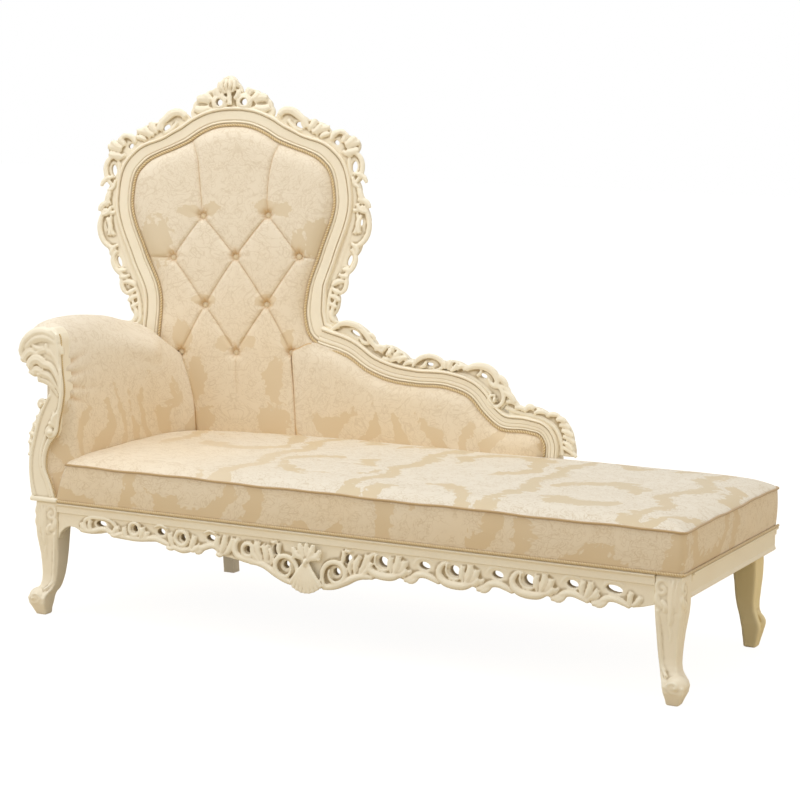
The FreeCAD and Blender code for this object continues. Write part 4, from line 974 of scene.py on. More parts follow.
WING_BOARDS = (
    ("wing_upper", upper_strokes,
        ((460, 668), (484, 686), (512, 690), (540, 680), (566, 658), (590, 630), (612, 638),
         (650, 626), (676, 608), (722, 590)), ((722, 574), (640, 576), (540, 612), (474, 640)),
        ((523, 662, 15, 6, 24),)),
    ("wing_middle", middle_strokes,
        ((690, 592), (710, 612), (744, 622), (772, 606), (798, 612), (840, 598), (880, 604),
         (912, 596), (926, 570), (952, 552), (950, 516)),
        ((926, 490), (886, 530), (830, 566), (740, 574)),
        ((735, 598, 11, 4.5, 0), (883, 580, 11, 6, 14))),
    ("wing_end", end_strokes,
        ((946, 518), (990, 508), (1014, 514), (1060, 500), (1092, 494), (1116, 470), (1128, 436),
         (1132, 398)), ((1082, 398), (1076, 440), (1050, 466), (960, 480)),
        ((1110, 440, 3, 6, 20),)))
for name, strokes, lobes, inner, holes in WING_BOARDS:
    carve(name + "_foliage", strokes, on_wing, [name + "_carving"],
          (scalloped(lobes, inner, 0.08), [oval(*hole) for hole in holes], 1, 15))

# %% [markdown]
# The apron hangs under the front rail: a sawn board with seventeen holes, broad C scrolls round the
# big ones, leaf clusters and small arches between, and at the middle two large scrolls that carry a
# flower and a ribbed shell. An arch and a scroll alternate along the right part.

# %% Apron
APRON_TOP = 259.0
SHELL_X = 750.0
ARCHES = (1001.0, 1179.0, 1356.0, 1452.0)
SCROLLS = (824.0, 1001.0, 1179.0)


def arch_strokes(x):
    """Leaf tips at x and the low arch to the right of them."""
    arch = ((x + 10, 206), (x + 26, 214), (x + 44, 217), (x + 62, 212), (x + 82, 203))
    found = [stroke(drawn(arch, step=8)[0], (5, 8, 8.5, 8, 6), 5)]
    found += petals((((x + 24, 216), (x - 6, 200), 16, 0.15),
        ((x + 30, 212), (x + 6, 196), 14, 0.1), ((x + 10, 222), (x - 10, 214), 12, 0.15)), 3)
    return found + rim(((x + 18, 236), (x + 26, 250), (x + 46, 254), (x + 66, 246)), 7, 5)


def scroll_strokes(x):
    """A broad C scroll under its hole, and the leaves that spring from its end."""
    scroll = ((x + 100, 252), (x + 86, 243), (x + 80, 226), (x + 90, 210), (x + 116, 203),
        (x + 144, 204), (x + 164, 214))
    found = [stroke(drawn(scroll, step=8)[0], (3, 6, 8, 10, 11, 10, 6), 4)]
    found += rim(((x + 104, 250), (x + 98, 236), (x + 104, 222), (x + 120, 216), (x + 136, 224)),
        6, 0)
    return found + petals((((x + 140, 212), (x + 138, 246), 15, 0.1),
        ((x + 146, 212), (x + 156, 252), 17, -0.1), ((x + 150, 212), (x + 172, 242), 17, -0.15),
        ((x + 152, 208), (x + 178, 224), 15, -0.15), ((x + 146, 216), (x + 150, 234), 11, 0.1)), 2)


left_strokes = [stroke(drawn(points, step=8)[0], widths, 5) for points, widths in (
    (((128, 222), (160, 222), (200, 230), (226, 220), (252, 218)), (6, 8, 7, 7, 7)),
    (((252, 218), (280, 217), (306, 218), (340, 223), (368, 215), (384, 212)), (7, 8, 7, 8, 7, 5)),
    (((384, 214), (398, 207), (416, 204), (440, 210)), (6, 8, 9, 7)),
    (((446, 210), (470, 215), (500, 224), (520, 214)), (6, 8, 8, 6)),
    (((566, 246), (556, 228), (562, 210), (586, 202), (616, 201), (650, 202)),
     (5, 8, 9, 10, 9, 8)))]
left_strokes += rim(((148, 228), (140, 242), (156, 254), (184, 256), (212, 253), (228, 240)), 10, 2)
left_strokes += [ring((282, 240), 15, 4.5, 2), ring((413, 232), 17, 5.0, 2),
    ring((593, 224), 15, 5.0, 1)]
left_strokes += petals((((150, 226), (130, 238), 13, 0.2), ((162, 224), (158, 248), 11, 0.2),
    ((222, 222), (238, 238), 14, 0.1), ((216, 218), (246, 226), 13, -0.1),
    ((262, 216), (252, 240), 14, 0.1), ((298, 220), (304, 246), 14, -0.1),
    ((302, 214), (318, 236), 13, -0.1), ((338, 250), (372, 250), 8, 0.2),
    ((392, 212), (380, 240), 15, 0.1), ((398, 208), (372, 206), 12, 0.1),
    ((434, 208), (446, 240), 15, -0.1), ((438, 204), (462, 220), 14, -0.1),
    ((474, 218), (452, 202), 14, 0.15), ((474, 250), (506, 252), 8, 0.2),
    ((512, 212), (512, 246), 15, 0.1), ((520, 208), (532, 252), 16, -0.05),
    ((530, 206), (552, 246), 16, -0.1), ((526, 204), (508, 206), 12, 0.1),
    ((640, 206), (646, 240), 13, 0.1), ((626, 214), (620, 244), 12, 0.1)), 2)
middle_half = rim(((52, 158), (40, 182), (46, 208), (66, 221), (90, 216), (99, 197), (90, 179),
    (70, 174), (58, 186), (60, 204)), 12, -3, (0.6, 1.0, 1.0, 1.0, 0.9, 0.7, 0.5))
middle_half += [stroke(drawn(((40, 160), (66, 164), (98, 178), (130, 194), (168, 196)), step=8)[0],
    (7, 9, 10, 9, 6), 2)]
middle_half += petals((((112, 196), (116, 232), 13, 0.15), ((124, 198), (134, 240), 15, 0.1),
    ((130, 198), (152, 246), 16, -0.1), ((136, 198), (164, 230), 15, -0.1),
    ((88, 220), (92, 248), 12, -0.1), ((112, 250), (96, 252), 9, 0.1)), 1)
shell = []
for k in range(-4, 5):
    swing = math.radians(k * 10.5)
    shell.append(stroke(((7 * math.sin(2 * swing), 210),
        (34 * math.sin(swing), 212 - 36 * math.cos(swing)),
        (60 * math.sin(swing), 212 - 70 * math.cos(swing))), (3.0, 4.4, 5.4, 5.0), (-7, -12, -8)))
shell += [bead((0, 214), 9, -11)]
shell += petals((((-4, 214), (-36, 222), 15, -0.3), ((4, 214), (36, 222), 15, 0.3),
    ((-6, 222), (-36, 246), 16, 0.2), ((6, 222), (36, 246), 16, -0.2),
    ((-3, 224), (-18, 256), 16, 0.1), ((3, 224), (18, 256), 16, -0.1),
    ((0, 222), (0, 258), 14, 0.0)), -5)


def moved(strokes, x):
    """The strokes shifted along the rail."""
    return [s + (x, 0, 0, 0) for s in strokes]


apron_strokes = (left_strokes + moved(middle_half, SHELL_X)
    + moved(flipped(middle_half), SHELL_X + 16))
apron_strokes += moved(shell, SHELL_X) + petals((((1426, 212), (1424, 246), 14, 0.1),
    ((1430, 212), (1442, 246), 15, -0.1), ((1434, 208), (1458, 230), 14, -0.1),
    ((1534, 208), (1536, 234), 13, 0.1), ((1538, 206), (1556, 226), 13, -0.1)), 3)
for x in ARCHES:
    apron_strokes += arch_strokes(x)
for x in SCROLLS:
    apron_strokes += scroll_strokes(x)
lower = [(62, 188), (68, 206), (80, 219), (94, 226), (110, 225), (130, 216), (160, 214), (184, 217),
    (206, 223), (222, 212), (256, 210), (294, 210), (345, 215), (366, 208), (382, 207), (404, 198),
    (430, 201), (454, 202), (480, 212), (496, 216), (514, 205), (530, 200), (574, 194), (640, 193),
    (672, 174), (700, 158), (748, 144), (796, 158), (822, 170), (856, 184), (900, 188), (922, 193),
    (950, 195), (980, 202)]
for x in ARCHES:
    lower += [(x - 4, 198), (x + 10, 200), (x + 30, 209), (x + 48, 210), (x + 70, 204)]
    if x in SCROLLS:
        lower += [(x + 92, 199), (x + 118, 194), (x + 144, 196), (x + 162, 204)]
lower += [(1540, 202), (1562, 206), (1588, 214)]
apron_outline = lower + [(1588, APRON_TOP), (62, APRON_TOP)]
holes = [(186, 241, 15, 7.5), (284, 241, 9, 8, -20), (354, 240, 11, 8), (417, 233, 10, 9, 10),
    (491, 240, 13, 7.5), (593, 225, 8, 8), (667, 233, 9, 13), (693, 200, 9, 9),
    (823, 198, 9, 9, 20), (853, 230, 9, 12, 15)]
holes += [(x + 43, 237, 14 if x < 1450 else 20, 8.5, 8) for x in ARCHES]
holes += [(x + 118, 234, 14, 11.5, 30) for x in SCROLLS]
carve("pierced_apron", apron_strokes, as_drawn, ["front_apron", "apron_shell"],
      (apron_outline, [oval(*hole) for hole in holes], 5, 26), voxel=2.2)

# %% [markdown]
# The cabriole legs are carved from square stock. A block is drawn down through its stations by
# extruding the bottom face, moving and scaling it each time; then the corners are rounded. Knee
# leaves, an edge line and a round toe with a spiral are laid on the front legs, and the whole is
# remeshed like the other carving.

# %% Legs
KNEE_Z = 225.0
FRONT_LEG_Y = 31.0
LEG_HALF = 31.0
TOE_OUT, TOE_Z = 24, 46
TOE_WIDE, TOE_HIGH = 25, 21
EDGE_LINE = ((-23, -30, 205), (-21, -27, 175), (-18, -24, 145), (-16, -22, 115), (-13, -19, 90),
             (-8, -24, 74), (4, -36, 64))


def leg_body(x, y, out_x, out_y, stations, size=(62.0, 62.0), top=281.0):
    """A block from the rail down to the knee, then one extrusion for each station."""
    deselect()
    bpy.ops.mesh.primitive_cube_add(size=1.0, location=metres((x, y, (top + KNEE_Z) / 2)))
    leg = bpy.context.object
    leg.scale = (size[0] / 1000, size[1] / 1000, (top - KNEE_Z) / 1000)
    bpy.ops.object.transform_apply(location=True, rotation=True, scale=True)
    bpy.ops.object.mode_set(mode="EDIT")
    bpy.ops.mesh.select_mode(type="FACE")
    bpy.ops.mesh.select_all(action="DESELECT")
    bpy.ops.object.mode_set(mode="OBJECT")
    lowest = min(leg.data.polygons, key=lambda face: face.center.z)
    lowest.select = True
    bpy.ops.object.mode_set(mode="EDIT")
    before_z, before_lead, before_width = KNEE_Z, 0.0, size[0]
    for z, lead, width in stations:
        move = ((lead - before_lead) * out_x / 1000, (lead - before_lead) * out_y / 1000,
            (z - before_z) / 1000)
        bpy.ops.mesh.extrude_region_move(TRANSFORM_OT_translate={"value": move})
        ratio = width / before_width
        bpy.ops.transform.resize(value=(ratio, ratio, 1.0),
                                 center_override=metres((x + out_x * lead, y + out_y * lead, z)))
        before_z, before_lead, before_width = z, lead, width
    bpy.ops.object.mode_set(mode="OBJECT")
    slopes = leg.modifiers.new("corners", "BEVEL")
    slopes.width = 0.009
    slopes.segments = 3
    slopes.angle_limit = math.radians(50)
    bpy.ops.object.modifier_apply(modifier="corners")
    return leg


FRONT_STATIONS = ((214, 0, 62), (195, 0, 60), (175, -1, 56), (150, -2, 51), (125, -2, 47),
    (100, -1, 43), (85, 1, 41), (72, 4, 41), (63, 9, 44), (54, 17, 48), (44, 21, 50), (30, 21, 46),
    (15, 19, 36), (5, 17, 31), (0.3, 17, 30))
REAR_STATIONS = ((205, 2, 60), (180, 3, 58), (155, 4, 54), (130, 4, 50), (108, 5, 46), (92, 7, 43),
    (76, 12, 44), (60, 17, 47), (46, 19, 45), (32, 18, 41), (16, 17, 35), (5, 16, 32),
    (0.3, 16, 31))


def knee_leaf(x, y, face, out):
    """A small scroll and a hanging leaf on one face of the knee: 'front' lies in y, 'end' in x."""
    found = petals((((-23, 246), (-13, 212), 15, -0.2), ((-14, 226), (-7, 202), 11, 0.2),
        ((2, 271), (2, 206), 13, 0.05), ((12, 272), (10, 202), 12, -0.03),
        ((22, 272), (19, 206), 12, -0.05), ((4, 214), (5, 176), 12, 0.05),
        ((8, 190), (6, 158), 9, -0.1), ((5, 168), (6, 136), 7, 0.05)), 0.0)
    found += rim(((-2, 260), (-13, 271), (-26, 263), (-26, 248), (-14, 241), (-7, 250), (-14, 256)),
        7, -1)
    strokes = []
    for s in found:
        across, level, up, size = s.T
        lead = (np.interp(up, (125, 150, 175, 214, 230), (-4, -3, -2, 0, 0))
            - 0.5 * (62 - np.interp(up, (125, 150, 175, 195, 214), (45, 50, 55, 59, 61)))
            - level - 0.4)
        if face == "front":
            spot = np.column_stack((x + out[0] * across, y - LEG_HALF - lead, up, size))
        else:
            spot = np.column_stack((x + out[0] * (LEG_HALF + lead), y + across, up, size))
        strokes.append(spot)
    return strokes


for name, node, x, out in (("front_left_cabriole", "front_left_leg", 31.0, (-1.0, -1.0)),
                           ("front_right_cabriole", "front_right_leg", 1619.0, (1.0, -1.0))):
    y = FRONT_LEG_Y
    body = leg_body(x, y, out[0], out[1], FRONT_STATIONS)
    leaves = knee_leaf(x, y, "front", out) + knee_leaf(x, y, "end", out)
    toe = dome(x + out[0] * TOE_OUT, TOE_Z, TOE_WIDE, TOE_HIGH, TOE_WIDE, y + out[1] * TOE_OUT,
        as_drawn)
    turn = np.linspace(1.2, 4.6 * math.pi / 2, 16)
    curl = np.linspace(18, 5, 16)
    aside, up = curl * np.cos(turn), -0.82 * curl * np.sin(turn)
    proud = y - TOE_OUT - TOE_WIDE * np.sqrt(1 - (aside / TOE_WIDE) ** 2 - (up / TOE_HIGH) ** 2)
    spiral = np.column_stack((x + out[0] * (TOE_OUT + aside), proud, TOE_Z + up, np.full(16, 3.4)))
    line = np.array([(x + out[0] * a, y + b, z, 3.4) for a, b, z in EDGE_LINE])
    carve(name, leaves + [spiral, line], as_drawn, [node], voxel=2.1, extra=[body, toe],
        hollow_reach=1.2)
body = leg_body(1601.0, 589.0, 1.0, 0.3, REAR_STATIONS, size=(60.0, 60.0), top=260.0)
# The rear leg takes the more golden copy of the paint, which is painted shade.
carve("rear_right_cabriole", [np.array(
    ((1632, 592, 84, 5.0), (1640, 595, 72, 8.0), (1643, 596, 58, 9.0), (1636, 594, 42, 8.0)))],
    as_drawn, ["rear_right_leg"], voxel=2.6, extra=[body], finish=cream_in_shade)

# %% [markdown]
# The arm ends in a carved post. Its board follows the roll of the arm, two beads run down its
# edges, leaves cover the roll and curl into a volute, and a narrow pierced strip of leaves stands
# on its outer side.

# %% Arm post
outer_edge = drawn(((-6, 281), (-15, 330), (-16, 384), (-4, 440), (14, 500), (34, 530), (43, 548),
    (38, 572), (16, 580), (-8, 594), (-12, 610), (-32, 616), (-43, 643), (-36, 666), (-16, 684),
    (14, 697), (54, 704)))[0]
inner_edge = drawn(((54, 704), (70, 686), (74, 650), (78, 600), (83, 556), (79, 520), (70, 480),
    (62, 446), (44, 424), (32, 392), (32, 358), (44, 330), (60, 281)))[0]
post_board = [tuple(v) for v in outer_edge] + [tuple(v) for v in inner_edge[1:]]
post_strokes = [stroke(drawn(points, step=12)[0], widths, depth) for points, widths, depth in (
    # Low beads down both edges of the post
    (((0, 296), (-10, 340), (-10, 388), (2, 440), (22, 500), (44, 540)),
        (3, 3.6, 3.6, 3.6, 3.6, 3), -4),
    (((54, 296), (40, 334), (27, 362), (27, 396), (40, 430), (52, 446)),
        (3, 3.6, 3.6, 3.6, 3.6, 3), -4),
    (((46, 296), (32, 334), (18, 364), (18, 396), (30, 436), (44, 470), (56, 500)),
        (2, 2.4, 2.4, 2.4, 2.4, 2.4, 2), -4),
    (((76, 606), (80, 560), (76, 520), (66, 484), (58, 466)), (4, 5, 5, 5, 5), -7),
    # The smooth roll over the arm
    (((70, 668), (56, 684), (22, 693), (-12, 679), (-33, 653), (-34, 632)),
        (5, 10, 13, 13, 11, 9), -1),
    (((74, 640), (60, 668), (34, 680), (4, 674), (-18, 656), (-26, 634)),
        (7, 12, 16, 16, 14, 9), 2),
    (((66, 682), (26, 694), (-14, 680), (-36, 650), (-32, 630)), (8, 9, 9, 8, 7), 13),
    (((66, 684), (30, 692), (-8, 676), (-30, 648), (-26, 630)), (8, 8, 8, 7, 6), 26))]
# The leaf that clasps the roll: lobes that spring from the shaft and curl over at their tips
for lobe, width, depth in ((((80, 566), (74, 604), (60, 634), (42, 650), (24, 648), (8, 640),
        (-6, 644), (-20, 636), (-30, 618)), 22, -6),
        (((78, 556), (68, 590), (50, 612), (32, 616), (16, 626), (0, 622), (-10, 606)), 24, -9),
        (((76, 548), (62, 572), (46, 588), (30, 592), (14, 600), (0, 596), (-6, 588)), 22, -7),
        (((70, 542), (56, 560), (42, 572), (26, 578), (12, 578)), 18, -5)):
    post_strokes += rim(lobe, width, depth, (0.3, 0.55, 0.8, 1.0, 1.0, 0.85), 3)
post_strokes += petals((((30, 656), (-2, 660), 14, 0.2), ((14, 640), (-6, 628), 12, 0.3),
    ((34, 630), (16, 614), 12, 0.3), ((28, 604), (12, 590), 11, 0.3),
    ((50, 640), (38, 664), 12, 0.2)), -8)
post_strokes += [bead(spot, size, depth) for spot, size, depth in (((-30, 624), 11, -3),
    ((-9, 609), 12, -5), ((3, 592), 11, -4), ((18, 582), 9, -3))]
post_strokes += petals((((66, 492), (44, 474), 14, 0.3), ((70, 500), (60, 470), 14, -0.2)), -9)
post_strokes += rim(((70, 506), (68, 474), (60, 448), (46, 443), (38, 454), (46, 464), (56, 460)),
    11, -8, (0.9, 1.0, 1.0, 0.8, 0.6))
collar_box = eased_box("collar", (-12, -9, 281), (66, 38, 292), as_drawn, 3.0)
post_body = sawn_board(post_board, [], -4, 38, as_drawn)
head = [(40, 572), (16, 582), (-4, 596), (-10, 612), (-32, 617), (-44, 643), (-34, 664), (-14, 682),
    (14, 694), (52, 700), (68, 688), (72, 650), (76, 600), (80, 562), (56, 560)]
head_body = sawn_board(head, [], -9, 0, as_drawn)
carve("arm_post_carved", post_strokes, as_drawn, ["arm_front_post"],
      extra=[post_body, head_body, collar_box, dome(50, 453, 8, 8, 8, -10, as_drawn)], voxel=2.0)
strip_outline = [tuple(v) for v in drawn(((-12, 372), (-18, 384), (-22, 422), (-16, 452), (-1, 481),
    (10, 500), (6, 514), (18, 528), (34, 524)))[0]]
strip_outline += [(34, 510), (14, 440), (2, 392), (-4, 372)]
strip_strokes = petals((((0, 396), (-14, 376), 13, 0.2), ((0, 412), (-22, 392), 13, 0.2),
    ((2, 428), (-22, 424), 13, 0.2), ((8, 446), (-18, 446), 13, 0.2),
    ((12, 462), (-8, 470), 13, 0.2), ((18, 480), (4, 490), 13, 0.2),
    ((26, 494), (14, 502), 12, 0.2)), 3)
strip_strokes += rim(((26, 502), (30, 518), (20, 527), (10, 518), (14, 508)), 10, 1,
    (0.8, 1.0, 1.0, 0.8))
strip_strokes += [bead((19, 515), 7, -3)]
carve("arm_leaf_strip", strip_strokes, as_drawn, ["arm_leaf_carving"],
      (strip_outline, [oval(-2, 415, 3.2, 9, -4), oval(15, 471, 3.2, 8, 20)], 4, 18), voxel=1.9)

# %% [markdown]
# The cloth on the back, the arm and the wing is pulled into creases between the buttons. Each
# crease is a line on the cloth: close to it the padding falls away sharply, further off it swells.
# The back pad is a fine net over its own outline, and every point's depth is worked out from its
# distance to the edge, to the creases and to the buttons.

# %% Buttons and creases
BUTTON_SHIFT = 12.0
BUTTON_ROWS = ((568.0, (-88.0, 88.0)), (462.0, (-170.0, 0.0, 170.0)), (339.0, (-83.0, 83.0)),
               (216.0, (-150.0, 0.0, 150.0)))
buttons = [[np.array((BUTTON_SHIFT + s, h)) for s in row] for h, row in BUTTON_ROWS]
all_buttons = np.array([spot for row in buttons for spot in row])
LEFT_FALL = ((-138, 216), (-128, 180), (-113, 130), (-100, 70), (-95, 0), (-95, -99))
RIGHT_FALL = ((162, 216), (168, 130), (172, 60), (175, 0), (176, -99))
creases = []
for above_row, below_row in zip(buttons, buttons[1:]):
    creases += [bow(p, q, 0.012 * (1 if p[0] < q[0] else -1), 8) for p in above_row
        for q in below_row if abs(p[0] - q[0]) < 100]
creases += [drawn((buttons[0][0], (-84, 660), (-92, 728), (-118, 778)), step=16)[0],
            drawn((buttons[0][1], (102, 660), (118, 728), (140, 770)), step=16)[0]]
creases += [np.array((buttons[1][0], (-266, 466))), np.array((buttons[1][2], (262, 452)))]
creases += [drawn(LEFT_FALL, step=14)[0], drawn(RIGHT_FALL, step=14)[0]]
creases += [np.array(((-138, 216), (-172, 222), (-214, 236))),
    np.array(((162, 216), (190, 226), (222, 240)))]
faint = [np.array((buttons[3][1], (14, 150), (15, 110)))]


def distance_to(points, line):
    """How far each point is from a run of straight steps, and how far along it."""
    best = np.full(len(points), 1e9)
    along = np.zeros(len(points))
    total = sum(np.linalg.norm(q - p) for p, q in zip(line, line[1:]))
    run = 0.0
    for p, q in zip(line, line[1:]):
        step = q - p
        length = np.linalg.norm(step)
        w = np.clip(((points - p) @ step) / length**2, 0, 1)
        gap = np.linalg.norm(points - p - w[:, None] * step, axis=1)
        nearer = gap < best
        best = np.where(nearer, gap, best)
        along = np.where(nearer, (run + w * length) / total, along)
        run += length
    return best, along


def inside(points, loop):
    """Which points lie within a closed loop."""
    loop = np.asarray(loop, float)
    found = np.zeros(len(points), bool)
    for (x0, y0), (x1, y1) in zip(loop, np.roll(loop, -1, axis=0)):
        crosses = (y0 > points[:, 1]) != (y1 > points[:, 1])
        with np.errstate(divide="ignore", invalid="ignore"):
            at = (x1 - x0) * (points[:, 1] - y0) / (y1 - y0) + x0
        found ^= crosses & (points[:, 0] < at)
    return found


print(len(all_buttons), "buttons,", len(creases), "creases")

# %% Tufted back pad
outline_up = np.vstack((left_line[0], crest_line[0][1:], right_line[0][1:]))
pad_edge = outline_up[(outline_up[:, 0] < 0) | (outline_up[:, 1] > 246)]
back_loop = np.vstack(
    (pad_edge, [(216, 236), (160, 208)], np.array(RIGHT_FALL)[1:], np.array(LEFT_FALL)[::-1]))
NET = 2.7


def net_over(loop, pitch):
    """A square net cut to a loop; its outermost points are drawn on to the loop."""
    low, high = loop.min(0) - pitch, loop.max(0) + pitch
    xs, ys = np.arange(low[0], high[0], pitch), np.arange(low[1], high[1], pitch)
    grid = np.array([(x, y) for y in ys for x in xs])
    within = inside(grid, loop)
    wide = len(xs)
    quads = [(j * wide + i, j * wide + i + 1, (j + 1) * wide + i + 1, (j + 1) * wide + i)
             for j in range(len(ys) - 1) for i in range(wide - 1)]
    quads = np.array([q for q in quads if within[list(q)].sum() >= 2])
    used = np.unique(quads)
    renumber = -np.ones(len(grid), int)
    renumber[used] = np.arange(len(used))
    spots, kept = grid[used], within[used]
    closed = np.vstack((loop, loop[:1]))
    for k in np.flatnonzero(~kept):
        best, nearest = 1e9, None
        near = np.flatnonzero(np.linalg.norm(closed[:-1] - spots[k], axis=1) < 60)
        for i in near if len(near) else range(len(closed) - 1):
            p, q = closed[i], closed[i + 1]
            w = np.clip(np.dot(spots[k] - p, q - p) / max(np.dot(q - p, q - p), 1e-9), 0, 1)
            spot = p + w * (q - p)
            gap = np.linalg.norm(spot - spots[k])
            if gap < best:
                best, nearest = gap, spot
        spots[k] = nearest
    return spots, renumber[quads]


def rim_of(quads):
    """The edges that belong to one face only, in face order."""
    seen = {}
    for quad in quads:
        for a, b in zip(quad, np.roll(quad, -1)):
            key = (min(a, b), max(a, b))
            seen[key] = None if key in seen else (a, b)
    return [edge for edge in seen.values() if edge]


def padded_shell(name, flat, quads, front, back, place, cloth):
    """A closed pad: a shaped front net, a flat back net, and walls between their rims."""
    count = len(flat)
    face = np.column_stack((flat[:, 0], front, flat[:, 1]))
    rear = np.column_stack((flat[:, 0], np.full(count, back), flat[:, 1]))
    faces = [tuple(q) for q in quads] + [tuple(q[::-1] + count) for q in quads]
    faces += [(b, a, a + count, b + count) for a, b in rim_of(quads)]
    return mesh_piece(name, place(np.vstack((face, rear))), faces, np.vstack((cloth, cloth)))


def crease_depth(spots, lines, deep=6.0, sharp=3.2, wide=3.2, reach=22.0):
    """How far the cloth is pulled in at each point, and how close it is to a crease."""
    pull = np.zeros(len(spots))
    mark = np.zeros(len(spots))
    for line in lines:
        gap, _ = distance_to(spots, np.asarray(line, float))
        pull = np.maximum(pull,
            deep * np.exp(-(gap / sharp) ** 1.3) + wide * np.exp(-(gap / reach) ** 1.5))
        # Closeness to the crease line; the cloth is later painted darker there, as painted shade.
        mark = np.maximum(mark, np.exp(-(gap / 2.0) ** 2))
    return pull, mark


flat, quads = net_over(back_loop, NET)
edge_gap, _ = distance_to(flat, pad_edge)
crown = 3.0 + 24.0 * (1 - np.exp(-np.clip(edge_gap - 8.5, 0, None) / 15.0))
pull, mark = crease_depth(flat, creases)
faint_pull, faint_mark = crease_depth(flat, faint, 3.0, 3.0, 2.0, 20.0)
pull, mark = np.maximum(pull, faint_pull), np.maximum(mark, 0.6 * faint_mark)
pocket_sheen = np.zeros(len(flat))
for spot in all_buttons:
    away = flat - spot
    gap = np.linalg.norm(away, axis=1)
    rays = np.cos(9 * np.arctan2(away[:, 1], away[:, 0]) + spot[0])
    pull = np.maximum(pull, 15.0 * np.exp(-(gap / 11.0) ** 2) + 9.0 * np.exp(-gap / 16.0))
    pull += 1.3 * (rays * np.exp(-gap / 20.0) * (gap > 6))
    # The gold pocket beside each button is painted sheen on the satin.
    pocket_sheen = np.maximum(pocket_sheen,
        0.4 * np.exp(-(away[:, 0] / 17.0) ** 2 - ((away[:, 1] - 12.0) / 20.0) ** 2)
        + (0.45 + 0.25 * rays) * np.exp(-(gap / 15.0) ** 2))
soft_edge = np.clip((edge_gap - 2) / 22.0, 0, 1)
front = -(crown - pull * soft_edge)
back_pad = padded_shell("tufted_back_cloth", flat, quads, front, 13.0, on_back, flat - (14.0, 50.0))
# Painted shade along the creases and just inside the edge, and painted sheen in the pockets by the
# buttons.
crease_shade_and_pocket_sheen = np.maximum(mark * 0.7, pocket_sheen) * soft_edge + 0.3 * np.exp(-((edge_gap - 8.0) / 6.0) ** 2)
# The ground lies bare in patches by the buttons and on both sides of the low bouquet
BARE = ((-112, 582, 34, 20), (-50, 584, 24, 22), (92, 590, 34, 20), (136, 582, 28, 22),
    (-206, 500, 56, 70), (182, 492, 22, 40), (238, 500, 40, 62), (-71, 348, 30, 18),
    (95, 348, 30, 18), (-132, 254, 28, 44), (-22, 240, 24, 20), (46, 242, 22, 20),
    (150, 248, 18, 28), (-92, 150, 24, 60), (-84, 28, 46, 52), (118, 150, 26, 60),
    (114, 34, 46, 52))
patch = np.zeros(len(flat))
for a, b, half_wide, half_high in BARE:
    patch = np.maximum(patch,
        np.exp(-((flat[:, 0] - a) / half_wide) ** 2 - ((flat[:, 1] - b) / half_high) ** 2))
rear_side = np.zeros(len(flat))
# Lower down the back, the shade tint paints the cloth golden and darker: painted shade.
for name, values in (("shade_and_sheen", crease_shade_and_pocket_sheen), ("bare", patch), ("plain", 1.0 + rear_side),
        ("shade_tint", np.interp(flat[:, 1], (-60, 520), (0.85, 0.15)))):
    store(back_pad, name, np.concatenate((values, rear_side)))
settle(back_pad, damask, "damask", "tufted_back_pad")

# %% [markdown]
# The arm's padding is one long form: it starts behind the carved post, rolls over outwards, and
# sweeps round at the far end into the left crease of the back. It is drawn as cross sections with
# the same number of points, and a smooth skin is laid through them both ways.


# %% Arm pad
def smooth_rows(rows, counts):
    """Catmull-Rom between rows; counts gives the steps in each gap."""
    rows = np.asarray(rows, float)
    padded = np.concatenate((2 * rows[:1] - rows[1:2], rows, 2 * rows[-1:] - rows[-2:-1]))
    found = []
    for i, n in enumerate(counts):
        a, b, c, d = padded[i:i + 4]
        for k in range(n):
            w = k / n
            found.append(0.5 * (2 * b + (c - a) * w + (2 * a - 5 * b + 4 * c - d) * w**2
                                + (3 * b - a - 3 * c + d) * w**3))
    found.append(rows[-1])
    return np.array(found)


def tube_faces(count, sides):
    """The walls and both ends of a tube of count rings, each with that many sides."""
    faces = [(i * sides + j, (i + 1) * sides + j, (i + 1) * sides + (j + 1) % sides,
        i * sides + (j + 1) % sides) for i in range(count - 1) for j in range(sides)]
    return faces + [list(range(sides)), [(count - 1) * sides + j for j in range(sides)][::-1]]


def arm_section(y, inner, crest_x, roll_x, top):
    """One cross section of the arm's padding, from its inner foot over the roll."""
    spots = ((inner - 2, 284), (inner + 3, 345), (inner + 2, 400), (inner - 1, 470),
        (inner - 5, 540), (inner - 10, top - 112), (inner - 19, top - 62), (crest_x + 40, top - 20),
        (crest_x, top), (crest_x - 32, top - 13), (roll_x + 5, top - 42), (roll_x, top - 68),
        (roll_x + 10, top - 94), (roll_x + 40, top - 110),
        (crest_x + (30 if y < 100 else 6), top - 150), (inner - 86, 350), (inner - 90, 284))
    return [(x, y, z) for x, z in spots]


def front_section(y, out):
    """Where the cloth turns in behind the post's inner edge."""
    spots = ((58, 284), (44, 340), (38, 385), (50, 446), (70, 492), (80, 548), (74, 592), (64, 650),
        (40, 692), (4, 692), (-28, 676), (-40, 656), (-32, 634), (-14, 622), (34, 570), (10, 350),
        (4, 284))
    return [(x + out * (1 if k < 8 else 0), y, z + out * (0.8 if 6 < k < 11 else 0))
        for k, (x, z) in enumerate(spots)]


def flames(across, up, apart, heights):
    """Upright tongues of bare ground that die out with height."""
    tongue = 0.5 + 0.5 * np.sin(2 * math.pi * across / apart
        + 2.0 * np.sin(up / 33.0 + across / 60.0) + 1.8 * np.sin(across / 47.0))
    broken = 0.5 + 0.5 * np.sin(up / 15.0 + 2.2 * np.sin(across / 23.0))
    return (0.2 + 0.85 * tongue ** 1.5 - 0.3 * broken) * np.interp(up, heights, (1.0, 0.0))


